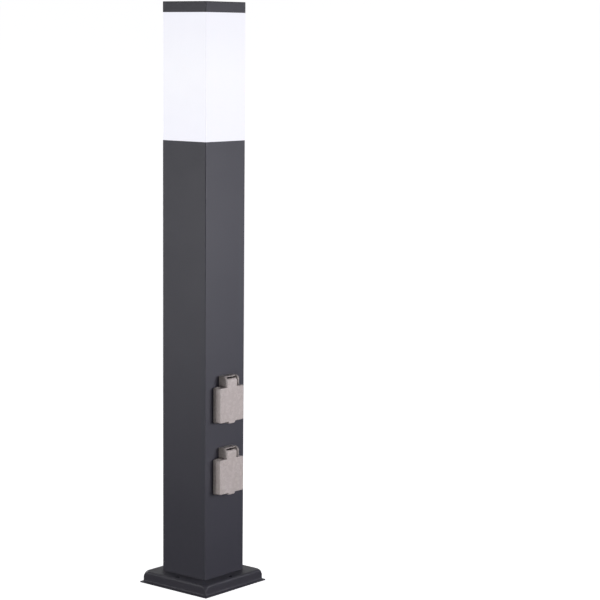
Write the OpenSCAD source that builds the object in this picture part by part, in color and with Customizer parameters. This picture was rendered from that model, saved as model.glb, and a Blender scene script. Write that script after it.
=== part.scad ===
// Garden socket post: a square steel post on a pressed foot, with two lidded
// outlets, a push switch and an opal lamp head.
// Origin at the bottom centre of the foot, +Z up, outlets on the -Y face.

/* [Post] */
// Width of the square post across its flats
post_w = 80; // [78:1:110]
// Length of post that shows between the foot and the lamp head
post_l = 603.5; // [480:0.5:900]
// Sheet thickness of the post
post_t = 1.5; // [1:0.1:2]
// Outer radius of the post's long edges
post_r = 1.5; // [1.2:0.1:5]
// Depth that the post reaches through the foot's top
post_sink = 5; // [3:0.5:8]

/* [Foot] */
// Distance from the post's face to the foot's wall
foot_margin = 19.5; // [18:0.5:40]
// Height of the foot
foot_h = 16.5; // [14:0.5:30]
// Sheet thickness of the foot
foot_t = 2; // [1.5:0.1:3]
// Radius of the foot's corners and shoulder
foot_r = 5; // [4:0.5:5.5]
// Width of the lip around the foot
lip_w = 3; // [2:0.5:8]
// Thickness of the lip
lip_t = 1.6; // [1:0.1:2.4]
// Distance from the post's face to a fixing hole's centre
bolt_off = 11; // [8:0.5:11.5]
// Diameter of a fixing hole
bolt_d = 5.5; // [4.5:0.5:6]

/* [Lamp head] */
// Height of the opal diffuser
glass_h = 172.5; // [160:0.5:260]
// Wall of the opal diffuser
glass_t = 3; // [2.5:0.5:4]
// Height of the cap
cap_h = 14.5; // [12:0.5:30]
// Sheet thickness of the cap
cap_t = 1.5; // [1:0.1:2.5]
// Thickness of the two square gaskets
gasket_t = 2; // [1:0.5:3]
// Width of the two square gaskets
gasket_w = 4; // [3:0.5:5]
// Distance from the post's inside wall to a tie rod's axis
rod_inset = 10.5; // [9:0.5:12]
// Diameter of a tie rod
rod_d = 6; // [5:0.5:7]
// Diameter of the lamp bulb
bulb_d = 60; // [50:1:64]
// Length of the lamp bulb from its contact
bulb_l = 110; // [104:1:116]
// Height of the lamp holder
holder_h = 42; // [38:1:46]

/* [Outlets] */
// Height of the lower outlet's centre above the foot
outlet_low = 143.5; // [130:1:200]
// Distance between the two outlets' centres
outlet_pitch = 100; // [85:1:200]
// Width of an outlet's square flange
flange_w = 50; // [49.5:0.5:56]
// Thickness of the flange
flange_t = 4.2; // [3.5:0.1:6]
// Thickness of the seal under the flange
seal_t = 0.8; // [0.5:0.1:1.5]
// Spacing of the flange's screws
screw_pitch = 38; // [37.5:0.5:40]
// Diameter of the round well
well_d = 39; // [38.5:0.5:39.5]
// Depth of the round well
well_depth = 17.5; // [16:0.5:20]
// Distance between the two contact holes
contact_pitch = 19; // [18:0.5:20]
// Diameter of a contact hole
contact_d = 5.8; // [5.4:0.2:6]
// Depth of the contact block behind the well
block_l = 16; // [15:1:24]

/* [Lids] */
// Depth of a lid
lid_d = 8.3; // [8:0.1:11]
// Side wall of a lid
lid_wall = 1.6; // [1.2:0.1:1.8]
// Front wall of a lid
lid_face = 2; // [1.5:0.1:2.5]
// Inset of the lid's edge from the flange's edge
lid_inset = 0.75; // [0.5:0.05:1.2]
// Width of the finger tab below the lid
tab_w = 14; // [10:1:20]
// Drop of the finger tab below the lid
tab_drop = 2.5; // [1.5:0.5:4]

/* [Hinges] */
// Width of the hinge block
hinge_w = 27; // [24:1:34]
// Thickness of each cheek of the hinge block
cheek_t = 3; // [2:0.5:4]
// Height of the hinge block's top above the flange
hinge_rise = 14.5; // [14:0.5:18]
// Front radius of the hinge block's top
hinge_r = 6.5; // [5:0.5:7]
// Thickness of the bar over the lid's arm
bar_t = 1.4; // [1:0.1:1.6]
// Diameter of the hinge pin
pin_d = 1.8; // [1.6:0.1:2]
// Height of the pin's axis above the flange
pin_rise = 5.1; // [5:0.1:5.4]
// Distance from the lid's front back to the pin's axis
pin_set = 2.6; // [2.5:0.1:3]
// Outer radius of the lid's arm about the pin
arm_r = 6.4; // [6:0.1:6.6]
// Wire diameter of the closing spring
spring_wire = 0.7; // [0.5:0.1:0.8]

/* [Switch] */
// Distance from the lamp head down to the switch
switch_drop = 77.5; // [50:1:150]
// Diameter of the switch's bright bezel
bezel_d = 14.5; // [13.5:0.5:18]
// Diameter of the switch's threaded barrel
barrel_d = 11.9; // [11.5:0.1:12.5]
// Diameter of the push button
button_d = 7.2; // [6:0.2:7.4]
// Reach of the button out of the post's face
button_out = 12; // [8:0.5:14]
// Travel of the button
button_travel = 3; // [2:0.5:3.5]

/* [Wiring] */
// Diameter of a wire with its sheath
wire_d = 2.6; // [2:0.1:2.8]
// Spacing of the poles of the terminal strip
pole_pitch = 7; // [6.5:0.1:7.2]
// Height of the terminal strip above the foot
strip_up = 45.5; // [40:1:60]

/* [Hidden] */
$fn = 64;

// Clearances
slack = 0.1;          // between pieces that are fixed to each other
running = 0.08;       // around a pin or plunger that moves
hole_slack = 0.3;     // around a screw in its hole
cut = 1;              // overrun of a cutting solid

// Levels and half widths
post_half = post_w / 2;
bore_half = post_half - post_t;
foot_half = post_half + foot_margin;
top_z = foot_h + post_l;
glass_z = top_z + glass_h;
low_z = foot_h + outlet_low;
high_z = low_z + outlet_pitch;
switch_z = top_z - switch_drop;
bolt_reach = post_half + bolt_off;

// Outlet, measured outwards from the post's face
flange_half = flange_w / 2;
flange_r = 3;
flange_out = seal_t + flange_t;
rim_h = 1.5;
rim_out = flange_out + rim_h;
well_r = well_d / 2;
rim_r = well_r + 1.5;
collar_r = rim_r + 1.6;
collar_t = 1.5;
well_floor = rim_out - well_depth;
floor_t = 2;
cup_back = well_floor - floor_t;
strap_t = 0.8;
strap_w = 6;
block_front = cup_back - strap_t - 2 * slack;
block_back = block_front - block_l;
skirt_r = collar_r + 0.8;
cover_t = 2;
cover_rim = 2;
cover_back = block_back - cover_t - cover_rim;
screw_r = 1.75;
head_r = 3.3;
head_t = 1.6;
small_screw_r = 1.5;
contact_x = contact_pitch / 2;
sleeve_r = contact_d / 2 + 0.3;
sleeve_bore = contact_d / 2 - 0.5;
clamp_w = 8;
clamp_h = 10;
clamp_t = 5;
clamp_screw_r = 1.2;
clamp_z = block_back + clamp_t;
wire_r = wire_d / 2;
wire_up = 2.4;
wire_depth = 3;
earth_y = -13;
earth_side = 1.9;
finger_y = 18;
finger_tip = 1.5;
bump_r = 1.2;

// Lid and hinge, measured the same way
lid_gap = 0.3;
lid_back = flange_out + lid_gap;
lid_out = lid_back + lid_d;
lid_half = flange_half - lid_inset;
lid_r = 2.5;
seal_ring = 2;
lid_seal_t = 1.8;
lid_seal_back = rim_out + 0.2;
hinge_low = flange_half + 1;
hinge_top = flange_half + hinge_rise;
hinge_out = lid_out + 0.9;
hinge_half = hinge_w / 2;
arm_gap = 0.5;
arm_half = hinge_half - cheek_t - arm_gap;
pin_y = flange_half + pin_rise;
pin_z = lid_out - pin_set;
pin_r = pin_d / 2;
pin_recess = 0.6;
arm_back = 4.2;
coil_in = pin_r + slack;
coil_out = coil_in + spring_wire;
coil_half = 4;
coil_gap = 0.3;
hollow_z = pin_z - arm_r - coil_gap;
leg_gap = 0.45;
leg_angle = 20;

// Switch, measured outwards from the post's side face
bezel_seal_t = 0.5;
bezel_out = bezel_seal_t + 2.1;
barrel_r = barrel_d / 2;
button_r = button_d / 2;
chamber_r = barrel_r - 1.05;
chamber_front = -2;
chamber_back = -14;
collar_gap = 0.2;
button_collar_t = 1.8;
barrel_back = chamber_back - 2;
base_back = barrel_back - 8;
tab_back = base_back - 6;
tab_off = 3;
switch_nut_t = 2.5;

// Lamp head
seat_z = top_z - gasket_t;
plate_t = 2;
plate_half = bore_half - slack;
rod_off = bore_half - rod_inset;
rod_r = rod_d / 2;
frame_z = glass_z + gasket_t;
cap_z = glass_z + cap_h;
nut_t = 4;
nipple_r = 5;
nipple_bore = 3.6;
stem_nut_t = 3;
stem_drop = 10;
skirt_h = 12;
rod_thread = 14;
cap_screw_reach = 12;
holder_r = 18;
holder_floor = 10;
shell_r = 14.4;
contact_t = 2.5;
contact_z = seat_z + holder_floor + contact_t;
cap_thread_r = 13.3;
neck_z = seat_z + holder_h + slack;
bulb_r = bulb_d / 2;
bulb_z = contact_z + bulb_l - bulb_r;
globe_drop = bulb_r / 3;
globe_cut_r = sqrt(bulb_r * bulb_r - globe_drop * globe_drop);

// Wiring at the post's foot
bracket_half = 30;
bracket_t = 2;
bracket_off = 10.5;
bracket_low = foot_h + 13.5;
bracket_h = 70;
bracket_face = bore_half - bracket_off;
strip_t = 15;
strip_h = 18;
strip_z = foot_h + strip_up;
strip_front = bracket_face - strip_t;
strip_y = bracket_face - 8;
poles = 8;
strip_half = poles * pole_pitch / 2 + 1;
strip_entry = 6;
strip_screw_z = 4.5;
clamp_x = 12;
clamp_plate_t = 3;
nut_gap = 0.05;       // between a thread and its nut
lug_t = 0.8;
earth_nut_t = 3;
stud_z = foot_h + 25.5;
stud_l = 16;
stud_r = 2.5;
stud_x = bore_half - stud_l;
lug_x = bore_half - 7.5;
wire_bend = 9;
wire_sides = 8;
bend_steps = 4;

// Places a piece drawn as right, up and out onto the outlet face
module on_front(z) {
    translate([0, -post_half, z]) rotate([90, 0, 0]) children();
}

// The same onto the switch face
module on_side(z) {
    translate([post_half, 0, z]) rotate([90, 0, 90]) children();
}

// Square with round corners, given by its half width
module soft_square(half, r) {
    square([2 * half, 2 * (half - r)], center = true);
    square([2 * (half - r), 2 * half], center = true);
    for (x = [-1, 1], y = [-1, 1])
        translate([x * (half - r), y * (half - r)]) circle(r = r);
}

// Square frame with round corners, given by its outer half width and its wall
module soft_ring(half, r, wall) {
    difference() {
        soft_square(half, r);
        soft_square(half - wall, max(r - wall, 0.3));
    }
}

// Removes a corner at the origin outside an arc; sx and sy point into the solid
module round_corner(r, sx, sy) {
    difference() {
        translate([-sx * cut / 2, -sy * cut / 2])
            translate([min(0, sx) * (r + cut / 2), min(0, sy) * (r + cut / 2)])
            square(r + cut / 2);
        translate([sx * r, sy * r]) circle(r = r);
    }
}

// Draws an outline given as up and out, and runs it along the right-hand axis
module across(from, to) {
    translate([from, 0, 0]) rotate([90, 0, 90]) linear_extrude(to - from) children();
}

module tube(r, bore, h) {
    difference() {
        cylinder(r = r, h = h);
        translate([0, 0, -cut]) cylinder(r = bore, h = h + 2 * cut);
    }
}

module hex_nut(flats, bore, h) {
    difference() {
        cylinder(r = flats / sqrt(3), h = h, $fn = 6);
        translate([0, 0, -cut]) cylinder(r = bore, h = h + 2 * cut);
    }
}

// Countersunk screw with a cross recess, its head's top at the origin
module sunk_screw(r, head, length) {
    difference() {
        union() {
            translate([0, 0, -head_t]) cylinder(r1 = r, r2 = head, h = head_t);
            translate([0, 0, -length]) cylinder(r = r, h = length - head_t);
        }
        for (a = [0, 90]) rotate(a) translate([-head * 0.6, -0.35, -0.9]) cube([head * 1.2, 0.7, 2]);
    }
}

// Cheese-head screw, its head's underside at the origin
module cheese_screw(r, head, head_h, length) {
    difference() {
        union() {
            cylinder(r = head, h = head_h);
            translate([0, 0, -length]) cylinder(r = r, h = length + head_h / 2);
        }
        translate([-head, -0.3, head_h - 0.7]) cube([2 * head, 0.6, cut]);
    }
}

// Section of the foot's shell, drawn outwards from its corner's centre
module foot_section() {
    fillet = lip_w - 0.4;
    difference() {
        union() {
            square([foot_r, foot_h - foot_r]);
            intersection() {
                translate([0, foot_h - foot_r]) circle(r = foot_r);
                square([foot_r, foot_h]);
            }
            square([foot_r + lip_w, lip_t]);
            difference() {
                translate([foot_r - 0.1, 0]) square([fillet + 0.1, lip_t + fillet]);
                translate([foot_r + fillet, lip_t + fillet]) circle(r = fillet);
            }
        }
        translate([-cut, -cut]) square([foot_r - foot_t + cut, foot_h - foot_r + cut]);
        translate([0, foot_h - foot_r]) circle(r = foot_r - foot_t);
    }
}

module base_plate() {
    run = foot_half - foot_r;
    color("#35343a") difference() {
        union() {
            translate([0, 0, foot_h - foot_t])
                linear_extrude(foot_t) square(2 * run, center = true);
            for (a = [0:90:270]) rotate(a) {
                translate([run, run, 0]) rotate_extrude(angle = 90) foot_section();
                translate([run, run, 0]) rotate([90, 0, 0]) linear_extrude(2 * run) foot_section();
                translate([run, run, 0]) linear_extrude(lip_t) difference() {
                    square(foot_r + lip_w);
                    circle(r = foot_r - foot_t / 2);
                }
            }
        }
        translate([0, 0, foot_h - foot_t - cut])
            linear_extrude(foot_t + 2 * cut) soft_square(post_half + slack, post_r + slack);
        for (a = [0:90:270]) rotate(a) translate([bolt_reach, 0, foot_h - foot_t - cut])
            cylinder(d = bolt_d, h = foot_t + 2 * cut);
    }
}

module post_tube() {
    color("#4a4a50") difference() {
        translate([0, 0, foot_h - post_sink])
            linear_extrude(post_l + post_sink) soft_ring(post_half, post_r, post_t);
        for (z = [low_z, high_z]) on_front(z) translate([0, 0, -post_t - cut]) {
            cylinder(r = skirt_r + 0.8, h = post_t + 2 * cut);
            screw_places() cylinder(r = screw_r + slack, h = post_t + 2 * cut);
        }
        on_side(switch_z) translate([0, 0, -post_t - cut])
            cylinder(r = barrel_r + slack, h = post_t + 2 * cut);
    }
}

// Outlet pieces, drawn once and placed twice
module screw_places() {
    for (x = [-1, 1], y = [-1, 1])
        translate([x * screw_pitch / 2, y * screw_pitch / 2, 0]) children();
}

module flange_seal() {
    color("#26262a") difference() {
        linear_extrude(seal_t) soft_square(flange_half - 0.6, flange_r - 0.6);
        translate([0, 0, -cut]) {
            cylinder(r = skirt_r + slack, h = seal_t + 2 * cut);
            screw_places() cylinder(r = screw_r + hole_slack, h = seal_t + 2 * cut);
        }
    }
}

module hinge_outline() {
    difference() {
        translate([hinge_low, seal_t]) square([hinge_top - hinge_low, hinge_out - seal_t]);
        translate([hinge_top, hinge_out]) round_corner(hinge_r, -1, -1);
        translate([hinge_low, hinge_out]) round_corner(2, 1, -1);
    }
}

module hinge_hollow() {
    difference() {
        translate([hinge_low - cut, hollow_z])
            square([hinge_top - bar_t - hinge_low + cut, hinge_out - hollow_z + cut]);
        translate([hinge_top - bar_t, hinge_out - bar_t])
            round_corner(hinge_r - bar_t, -1, -1);
    }
}

module socket_frame() {
    color("#aaa29e") difference() {
        union() {
            translate([0, 0, seal_t]) linear_extrude(flange_t) soft_square(flange_half, flange_r);
            translate([0, 0, block_front]) cylinder(r = skirt_r, h = seal_t - block_front + cut);
            translate([-hinge_half, flange_half - flange_r, seal_t])
                cube([hinge_w, flange_r + hinge_low - flange_half + cut, flange_t]);
            across(-hinge_half, hinge_half) hinge_outline();
        }
        across(-arm_half - arm_gap, arm_half + arm_gap) {
            hinge_hollow();
            translate([hinge_low - cut, hinge_out - hinge_r + 2])
                square([hinge_top - hinge_low + 2 * cut, hinge_r]);
        }
        translate([-hinge_half - cut, pin_y, pin_z]) rotate([0, 90, 0])
            cylinder(r = pin_r + 0.02, h = hinge_w + 2 * cut);
        translate([0, 0, block_front - cut])
            cylinder(r = rim_r + slack, h = flange_out - block_front + 2 * cut);
        translate([0, 0, flange_out - collar_t]) cylinder(r = collar_r + slack, h = collar_t + cut);
        screw_places() {
            cylinder(r = screw_r + hole_slack, h = flange_out + cut);
            translate([0, 0, flange_out - head_t - slack])
                cylinder(r1 = screw_r + slack, r2 = head_r + 2 * slack, h = head_t + 2 * slack);
        }
    }
}

module socket_insert() {
    color("#8f8b88") difference() {
        union() {
            translate([0, 0, cup_back]) difference() {
                cylinder(r = rim_r, h = rim_out - cup_back);
                translate([0, 0, floor_t]) cylinder(r = well_r, h = well_depth + cut);
            }
            translate([0, 0, flange_out - collar_t]) tube(collar_r, rim_r - 0.2, collar_t);
            for (s = [-1, 1]) translate([s * (well_r - 0.7) - 1, -1.9, well_floor - 0.1])
                cube([2, 3.8, well_depth - 2]);
        }
        translate([0, 0, cup_back - cut]) {
            for (s = [-1, 1]) {
                translate([s * contact_x, 0, 0]) cylinder(d = contact_d, h = floor_t + 2 * cut);
                translate([-strap_w / 2 - 0.3, s * (finger_y + strap_t / 2) - 0.7, 0])
                    cube([strap_w + 0.6, 1.4, floor_t + 2 * cut]);
            }
            cylinder(r = small_screw_r + hole_slack, h = floor_t + 2 * cut);
        }
    }
}

module earth_clip() {
    color("#b9b6ac") difference() {
        union() {
            translate([-strap_w / 2, -finger_y - strap_t, block_front + slack])
                cube([strap_w, 2 * (finger_y + strap_t), strap_t]);
            for (s = [0, 1]) mirror([0, s, 0]) {
                translate([-strap_w / 2, finger_y, block_front + slack])
                    cube([strap_w, strap_t, finger_tip - block_front]);
                translate([-strap_w / 2, finger_y, finger_tip - 2 * bump_r]) rotate([0, 90, 0])
                    cylinder(r = bump_r, h = strap_w);
            }
            translate([-strap_w / 2, earth_y - strap_t / 2, clamp_z - cut])
                cube([strap_w, strap_t, block_front - clamp_z + cut + strap_t]);
            translate([-clamp_w / 2, earth_y - clamp_w / 2, block_back])
                cube([clamp_w, clamp_w, clamp_t]);
        }
        translate([0, 0, block_front - cut]) cylinder(r = small_screw_r + hole_slack, h = 3 * cut);
        translate([-earth_side, earth_y, block_back - cut]) cylinder(r = clamp_screw_r + slack, h = 4 + cut);
        translate([earth_side, earth_y, block_back - cut]) cylinder(r = wire_r + 0.2, h = wire_depth + cut);
    }
}

module contacts() {
    color("#c9a24b") for (s = [-1, 1]) translate([s * contact_x, 0, 0]) difference() {
        union() {
            translate([0, 0, clamp_z - cut]) cylinder(r = sleeve_r, h = cup_back - slack - clamp_z + cut);
            translate([-clamp_w / 2, -clamp_h / 2, block_back]) cube([clamp_w, clamp_h, clamp_t]);
        }
        translate([0, 0, clamp_z]) cylinder(r = sleeve_bore, h = cup_back - clamp_z + cut);
        translate([0, -wire_up, block_back - cut]) cylinder(r = clamp_screw_r + slack, h = 4 + cut);
        translate([0, wire_up, block_back - cut]) cylinder(r = wire_r + 0.2, h = wire_depth + cut);
    }
}

module contact_block() {
    color("#2f2f31") difference() {
        translate([0, 0, block_back]) cylinder(r = skirt_r, h = block_l);
        for (s = [-1, 1]) translate([s * contact_x, 0, 0]) {
            translate([0, 0, block_back - cut]) cylinder(r = sleeve_r + 0.2, h = block_l + 2 * cut);
            translate([-clamp_w / 2 - slack, -clamp_h / 2 - slack, block_back - cut])
                cube([clamp_w + 2 * slack, clamp_h + 2 * slack, clamp_t + cut]);
        }
        translate([-clamp_w / 2 - slack, earth_y - clamp_w / 2 - slack, block_back - cut])
            cube([clamp_w + 2 * slack, clamp_w + 2 * slack, clamp_t + cut]);
        translate([-strap_w / 2 - slack, earth_y - strap_t / 2 - slack, clamp_z - cut])
            cube([strap_w + 2 * slack, strap_t + 2 * slack, block_l]);
        translate([0, 0, block_front - 10]) cylinder(r = small_screw_r + slack, h = 10 + cut);
    }
}

module terminal_head() {
    cheese_screw(clamp_screw_r, 2, 1.4, 3.5);
}

module outlet_terminal_screws() {
    color("#c8c8c4") {
        for (s = [-1, 1]) translate([s * contact_x, -wire_up, block_back]) rotate([180, 0, 0])
            terminal_head();
        translate([-earth_side, earth_y, block_back]) rotate([180, 0, 0]) terminal_head();
    }
}

module centre_screw() {
    color("#c8c8c4") translate([0, 0, well_floor])
        cheese_screw(small_screw_r, 2.8, 1.6, well_floor - block_front + 9);
}

module rear_cover() {
    color("#2f2f31") difference() {
        translate([0, 0, cover_back]) cylinder(r = skirt_r, h = cover_t + cover_rim);
        translate([0, 0, cover_back + cover_t]) cylinder(r = skirt_r - 2, h = cover_rim + cut);
        translate([0, 0, cover_back - cut]) {
            for (s = [-1, 1]) translate([s * contact_x, wire_up, 0])
                cylinder(r = wire_r + 0.5, h = cover_t + 2 * cut);
            translate([earth_side, earth_y, 0]) cylinder(r = wire_r + 0.5, h = cover_t + 2 * cut);
        }
    }
}

module frame_screws() {
    color("#c8c8c4") screw_places() translate([0, 0, flange_out]) sunk_screw(screw_r, head_r, 13);
}

module lid_arm() {
    intersection() {
        union() {
            translate([pin_y, pin_z]) circle(r = arm_r);
            translate([lid_half - lid_wall, pin_z - arm_back])
                square([pin_y - lid_half + lid_wall, arm_back + pin_set]);
        }
        difference() {
            translate([0, 0]) square([pin_y + arm_r, lid_out]);
            translate([pin_y + arm_r, lid_out]) round_corner(3.5, -1, -1);
        }
    }
}

module lid() {
    color("#b2aaa6") difference() {
        union() {
            translate([0, 0, lid_back]) linear_extrude(lid_d) soft_square(lid_half, lid_r);
            across(-arm_half, arm_half) lid_arm();
            translate([0, 0, lid_out - 5]) linear_extrude(5) {
                translate([-tab_w / 2, -lid_half]) square([tab_w, lid_r]);
                translate([-tab_w / 2 + tab_drop, -lid_half - tab_drop])
                    square([tab_w - 2 * tab_drop, tab_drop + cut]);
                for (s = [-1, 1]) intersection() {
                    translate([s * (tab_w / 2 - tab_drop), -lid_half]) circle(r = tab_drop);
                    translate([-tab_w / 2, -lid_half - tab_drop]) square([tab_w, tab_drop + cut]);
                }
            }
        }
        translate([0, 0, lid_back - cut]) difference() {
            linear_extrude(lid_d - lid_face + cut) soft_square(lid_half - lid_wall, lid_r - lid_wall + 0.6);
            translate([0, 0, lid_seal_back + lid_seal_t - lid_back + cut])
                tube(rim_r + 0.5, rim_r + 0.5 - seal_ring, lid_d);
        }
        translate([-arm_half - cut, pin_y, pin_z]) rotate([0, 90, 0])
            cylinder(r = pin_r + running, h = 2 * arm_half + 2 * cut);
        translate([-coil_half - coil_gap, pin_y, pin_z]) rotate([0, 90, 0])
            cylinder(r = coil_out + coil_gap, h = 2 * (coil_half + coil_gap));
        across(-spring_wire / 2 - leg_gap, spring_wire / 2 + leg_gap)
            translate([pin_y - arm_r * sin(leg_angle) - 1, pin_z - arm_r - cut])
            square([2 * arm_r, arm_r + cut + spring_wire / 2 + leg_gap]);
    }
}

module lid_seal() {
    color("#3a3a3d") translate([0, 0, lid_seal_back])
        tube(rim_r + 0.5, rim_r + 0.5 - seal_ring, lid_seal_t);
}

module hinge_pin() {
    color("#8d8d8f") translate([-hinge_half + pin_recess, pin_y, pin_z]) rotate([0, 90, 0])
        cylinder(r = pin_r, h = hinge_w - 2 * pin_recess);
}

// Closing spring: its turns lie side by side on the pin and one leg meets the frame
module lid_spring() {
    turns = floor(2 * coil_half / spring_wire);
    leg = (pin_z - hollow_z - slack - spring_wire / 2 * sin(leg_angle)) / cos(leg_angle);
    color("#9a9a9c") translate([0, pin_y, pin_z]) {
        translate([-turns * spring_wire / 2, 0, 0]) rotate([0, 90, 0]) {
            tube(coil_out - spring_wire * 0.25, coil_in, turns * spring_wire);
            for (i = [0:turns - 1]) translate([0, 0, (i + 0.5) * spring_wire])
                rotate_extrude() translate([coil_in + spring_wire * 0.55, 0])
                circle(r = spring_wire * 0.44);
        }
        rotate([-leg_angle, 0, 0]) translate([0, 0, -leg])
            cylinder(r = spring_wire / 2, h = leg - coil_in - spring_wire / 2);
    }
}

// Switch pieces
module switch_body() {
    color("#cfcfd0") on_side(switch_z) difference() {
        union() {
            translate([0, 0, barrel_back]) cylinder(r = barrel_r, h = bezel_out - barrel_back - cut);
            translate([0, 0, bezel_seal_t]) cylinder(d = bezel_d, h = bezel_out - bezel_seal_t - 0.6);
            translate([0, 0, bezel_out - 0.6]) cylinder(d1 = bezel_d, d2 = bezel_d - 1.2, h = 0.6);
        }
        translate([0, 0, bezel_out - 0.8]) cylinder(d = bezel_d - 4, h = cut);
        translate([0, 0, chamber_front - cut])
            cylinder(r = button_r + running, h = bezel_out - chamber_front + 2 * cut);
        translate([0, 0, barrel_back - cut])
            cylinder(r = chamber_r, h = chamber_front - barrel_back + cut);
    }
}

module switch_seal() {
    color("#1f1f22") on_side(switch_z) tube(bezel_d / 2 - 0.3, barrel_r + slack, bezel_seal_t);
}

module switch_nut() {
    color("#cfcfd0") on_side(switch_z) translate([0, 0, -post_t - switch_nut_t])
        hex_nut(barrel_d + 2.1, barrel_r + nut_gap, switch_nut_t);
}

module switch_button() {
    dome = 2.4;
    stem_l = 4;
    dome_r = (button_r * button_r + dome * dome) / (2 * dome);
    color("#d8d8da") on_side(switch_z) {
        intersection() {
            translate([0, 0, chamber_front - button_collar_t])
                cylinder(r = button_r, h = button_out - chamber_front + button_collar_t);
            union() {
                translate([0, 0, button_out - dome_r]) sphere(r = dome_r);
                translate([0, 0, chamber_front - button_collar_t - cut]) cylinder(r = 2 * button_r,
                    h = button_out - dome - chamber_front + button_collar_t + cut);
            }
        }
        translate([0, 0, chamber_front - collar_gap - button_collar_t])
            cylinder(r = chamber_r - 0.1, h = button_collar_t);
        translate([0, 0, chamber_front - collar_gap - button_collar_t - stem_l])
            cylinder(r = 1.5, h = stem_l + cut);
    }
}

module switch_spring() {
    solid = chamber_front - collar_gap - button_collar_t - button_travel - 0.3 - chamber_back;
    turns = 8;
    color("#a8a8aa") on_side(switch_z) translate([0, 0, chamber_back]) {
        tube(2.7, 1.9, solid);
        for (i = [0:turns - 1]) translate([0, 0, (i + 0.5) * solid / turns])
            rotate_extrude() translate([2.5, 0]) circle(r = solid / turns * 0.44);
    }
}

module switch_base() {
    color("#303034") on_side(switch_z) {
        translate([0, 0, barrel_back - cut])
            cylinder(r = chamber_r - slack, h = chamber_back - barrel_back + cut);
        translate([0, 0, base_back]) cylinder(r = barrel_r, h = barrel_back - base_back);
    }
}

module switch_tabs() {
    color("#c9a24b") on_side(switch_z) for (s = [-1, 1])
        translate([s * tab_off - 0.4, -1.4, tab_back]) cube([0.8, 2.8, base_back - tab_back]);
}

// Lamp head pieces
module rod_places() {
    for (s = [-1, 1]) translate([s * rod_off, s * rod_off, 0]) children();
}

module head_plate() {
    color("#5a5a60") difference() {
        translate([0, 0, seat_z - skirt_h])
            linear_extrude(skirt_h) soft_square(plate_half, max(post_r - post_t, 0.4));
        translate([0, 0, seat_z - skirt_h - cut])
            linear_extrude(skirt_h - plate_t + cut) soft_square(plate_half - plate_t, 0.4);
        translate([0, 0, seat_z - plate_t - cut]) {
            cylinder(r = nipple_r + slack, h = plate_t + 2 * cut);
            rod_places() cylinder(r = rod_r + slack, h = plate_t + 2 * cut);
        }
    }
}

module lower_gasket() {
    color("#2a2a2d") translate([0, 0, seat_z])
        linear_extrude(gasket_t) soft_ring(bore_half - 2 * slack, max(post_r - post_t, 0.4), gasket_w);
}

module upper_gasket() {
    color("#2a2a2d") translate([0, 0, glass_z]) linear_extrude(gasket_t)
        soft_ring(post_half - cap_t - 2 * slack, max(post_r - cap_t, 0.4), gasket_w);
}

module diffuser() {
    color("#f6f6fa") translate([0, 0, top_z])
        linear_extrude(glass_h) soft_ring(post_half, post_r, glass_t);
}

module cap() {
    color("#4e4e53") difference() {
        translate([0, 0, glass_z]) linear_extrude(cap_h) soft_square(post_half, post_r);
        translate([0, 0, glass_z - cut]) linear_extrude(cap_h - cap_t + cut)
            soft_square(post_half - cap_t, max(post_r - cap_t, 0.3));
        rod_places() {
            translate([0, 0, cap_z - cap_t - cut])
                cylinder(r = small_screw_r + hole_slack, h = cap_t + 2 * cut);
            translate([0, 0, cap_z - head_t - slack])
                cylinder(r1 = small_screw_r + slack, r2 = head_r + 2 * slack, h = head_t + 2 * slack);
        }
    }
}

module cap_frame() {
    color("#5a5a60") difference() {
        union() {
            translate([0, 0, frame_z]) linear_extrude(plate_t)
                soft_square(post_half - cap_t - slack, max(post_r - cap_t, 0.4));
            rod_places() translate([0, 0, frame_z]) cylinder(r = 4.5, h = cap_z - cap_t - frame_z);
        }
        rod_places() {
            translate([0, 0, frame_z - cut]) cylinder(r = small_screw_r + hole_slack, h = cap_h + cut);
            translate([0, 0, cap_z - head_t - slack]) cylinder(r = head_r, h = head_t);
        }
        translate([0, 0, frame_z - cut]) cylinder(r = bore_half - 12, h = plate_t + 2 * cut);
    }
}

module tie_rods() {
    low = seat_z - plate_t - nut_t - 3;
    color("#c2c2c6") rod_places() difference() {
        translate([0, 0, low]) cylinder(r = rod_r, h = frame_z - low);
        translate([0, 0, frame_z - rod_thread])
            cylinder(r = small_screw_r + slack, h = rod_thread + cut);
    }
}

module rod_nuts() {
    color("#c2c2c6") rod_places() for (z = [seat_z, seat_z - plate_t - nut_t])
        translate([0, 0, z]) hex_nut(rod_d + 4, rod_r + nut_gap, nut_t);
}

module cap_screws() {
    color("#c2c2c6") rod_places() translate([0, 0, cap_z])
        sunk_screw(small_screw_r, head_r, cap_h - gasket_t + cap_screw_reach);
}

module lamp_holder() {
    color("#e9e7e2") translate([0, 0, seat_z]) difference() {
        union() {
            cylinder(r = holder_r + 2, h = 6);
            cylinder(r = holder_r, h = holder_h);
        }
        translate([0, 0, holder_floor]) cylinder(r = shell_r + 0.2, h = holder_h);
        translate([0, 0, -cut]) cylinder(r = nipple_r + slack, h = 7 + cut);
    }
}

// Screwed sleeve, centre contact, hollow stem and stem nut of the lamp holder
module holder_parts() {
    color("#c9a24b") {
        translate([0, 0, contact_z]) tube(shell_r, shell_r - 0.8, holder_h - holder_floor - contact_t - 3);
        translate([0, 0, seat_z + holder_floor]) cylinder(r = 3, h = contact_t);
        translate([0, 0, seat_z - stem_drop]) tube(nipple_r, nipple_bore, stem_drop + 6);
        translate([0, 0, seat_z - plate_t - stem_nut_t]) hex_nut(14, nipple_r + nut_gap, stem_nut_t);
    }
}

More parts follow.
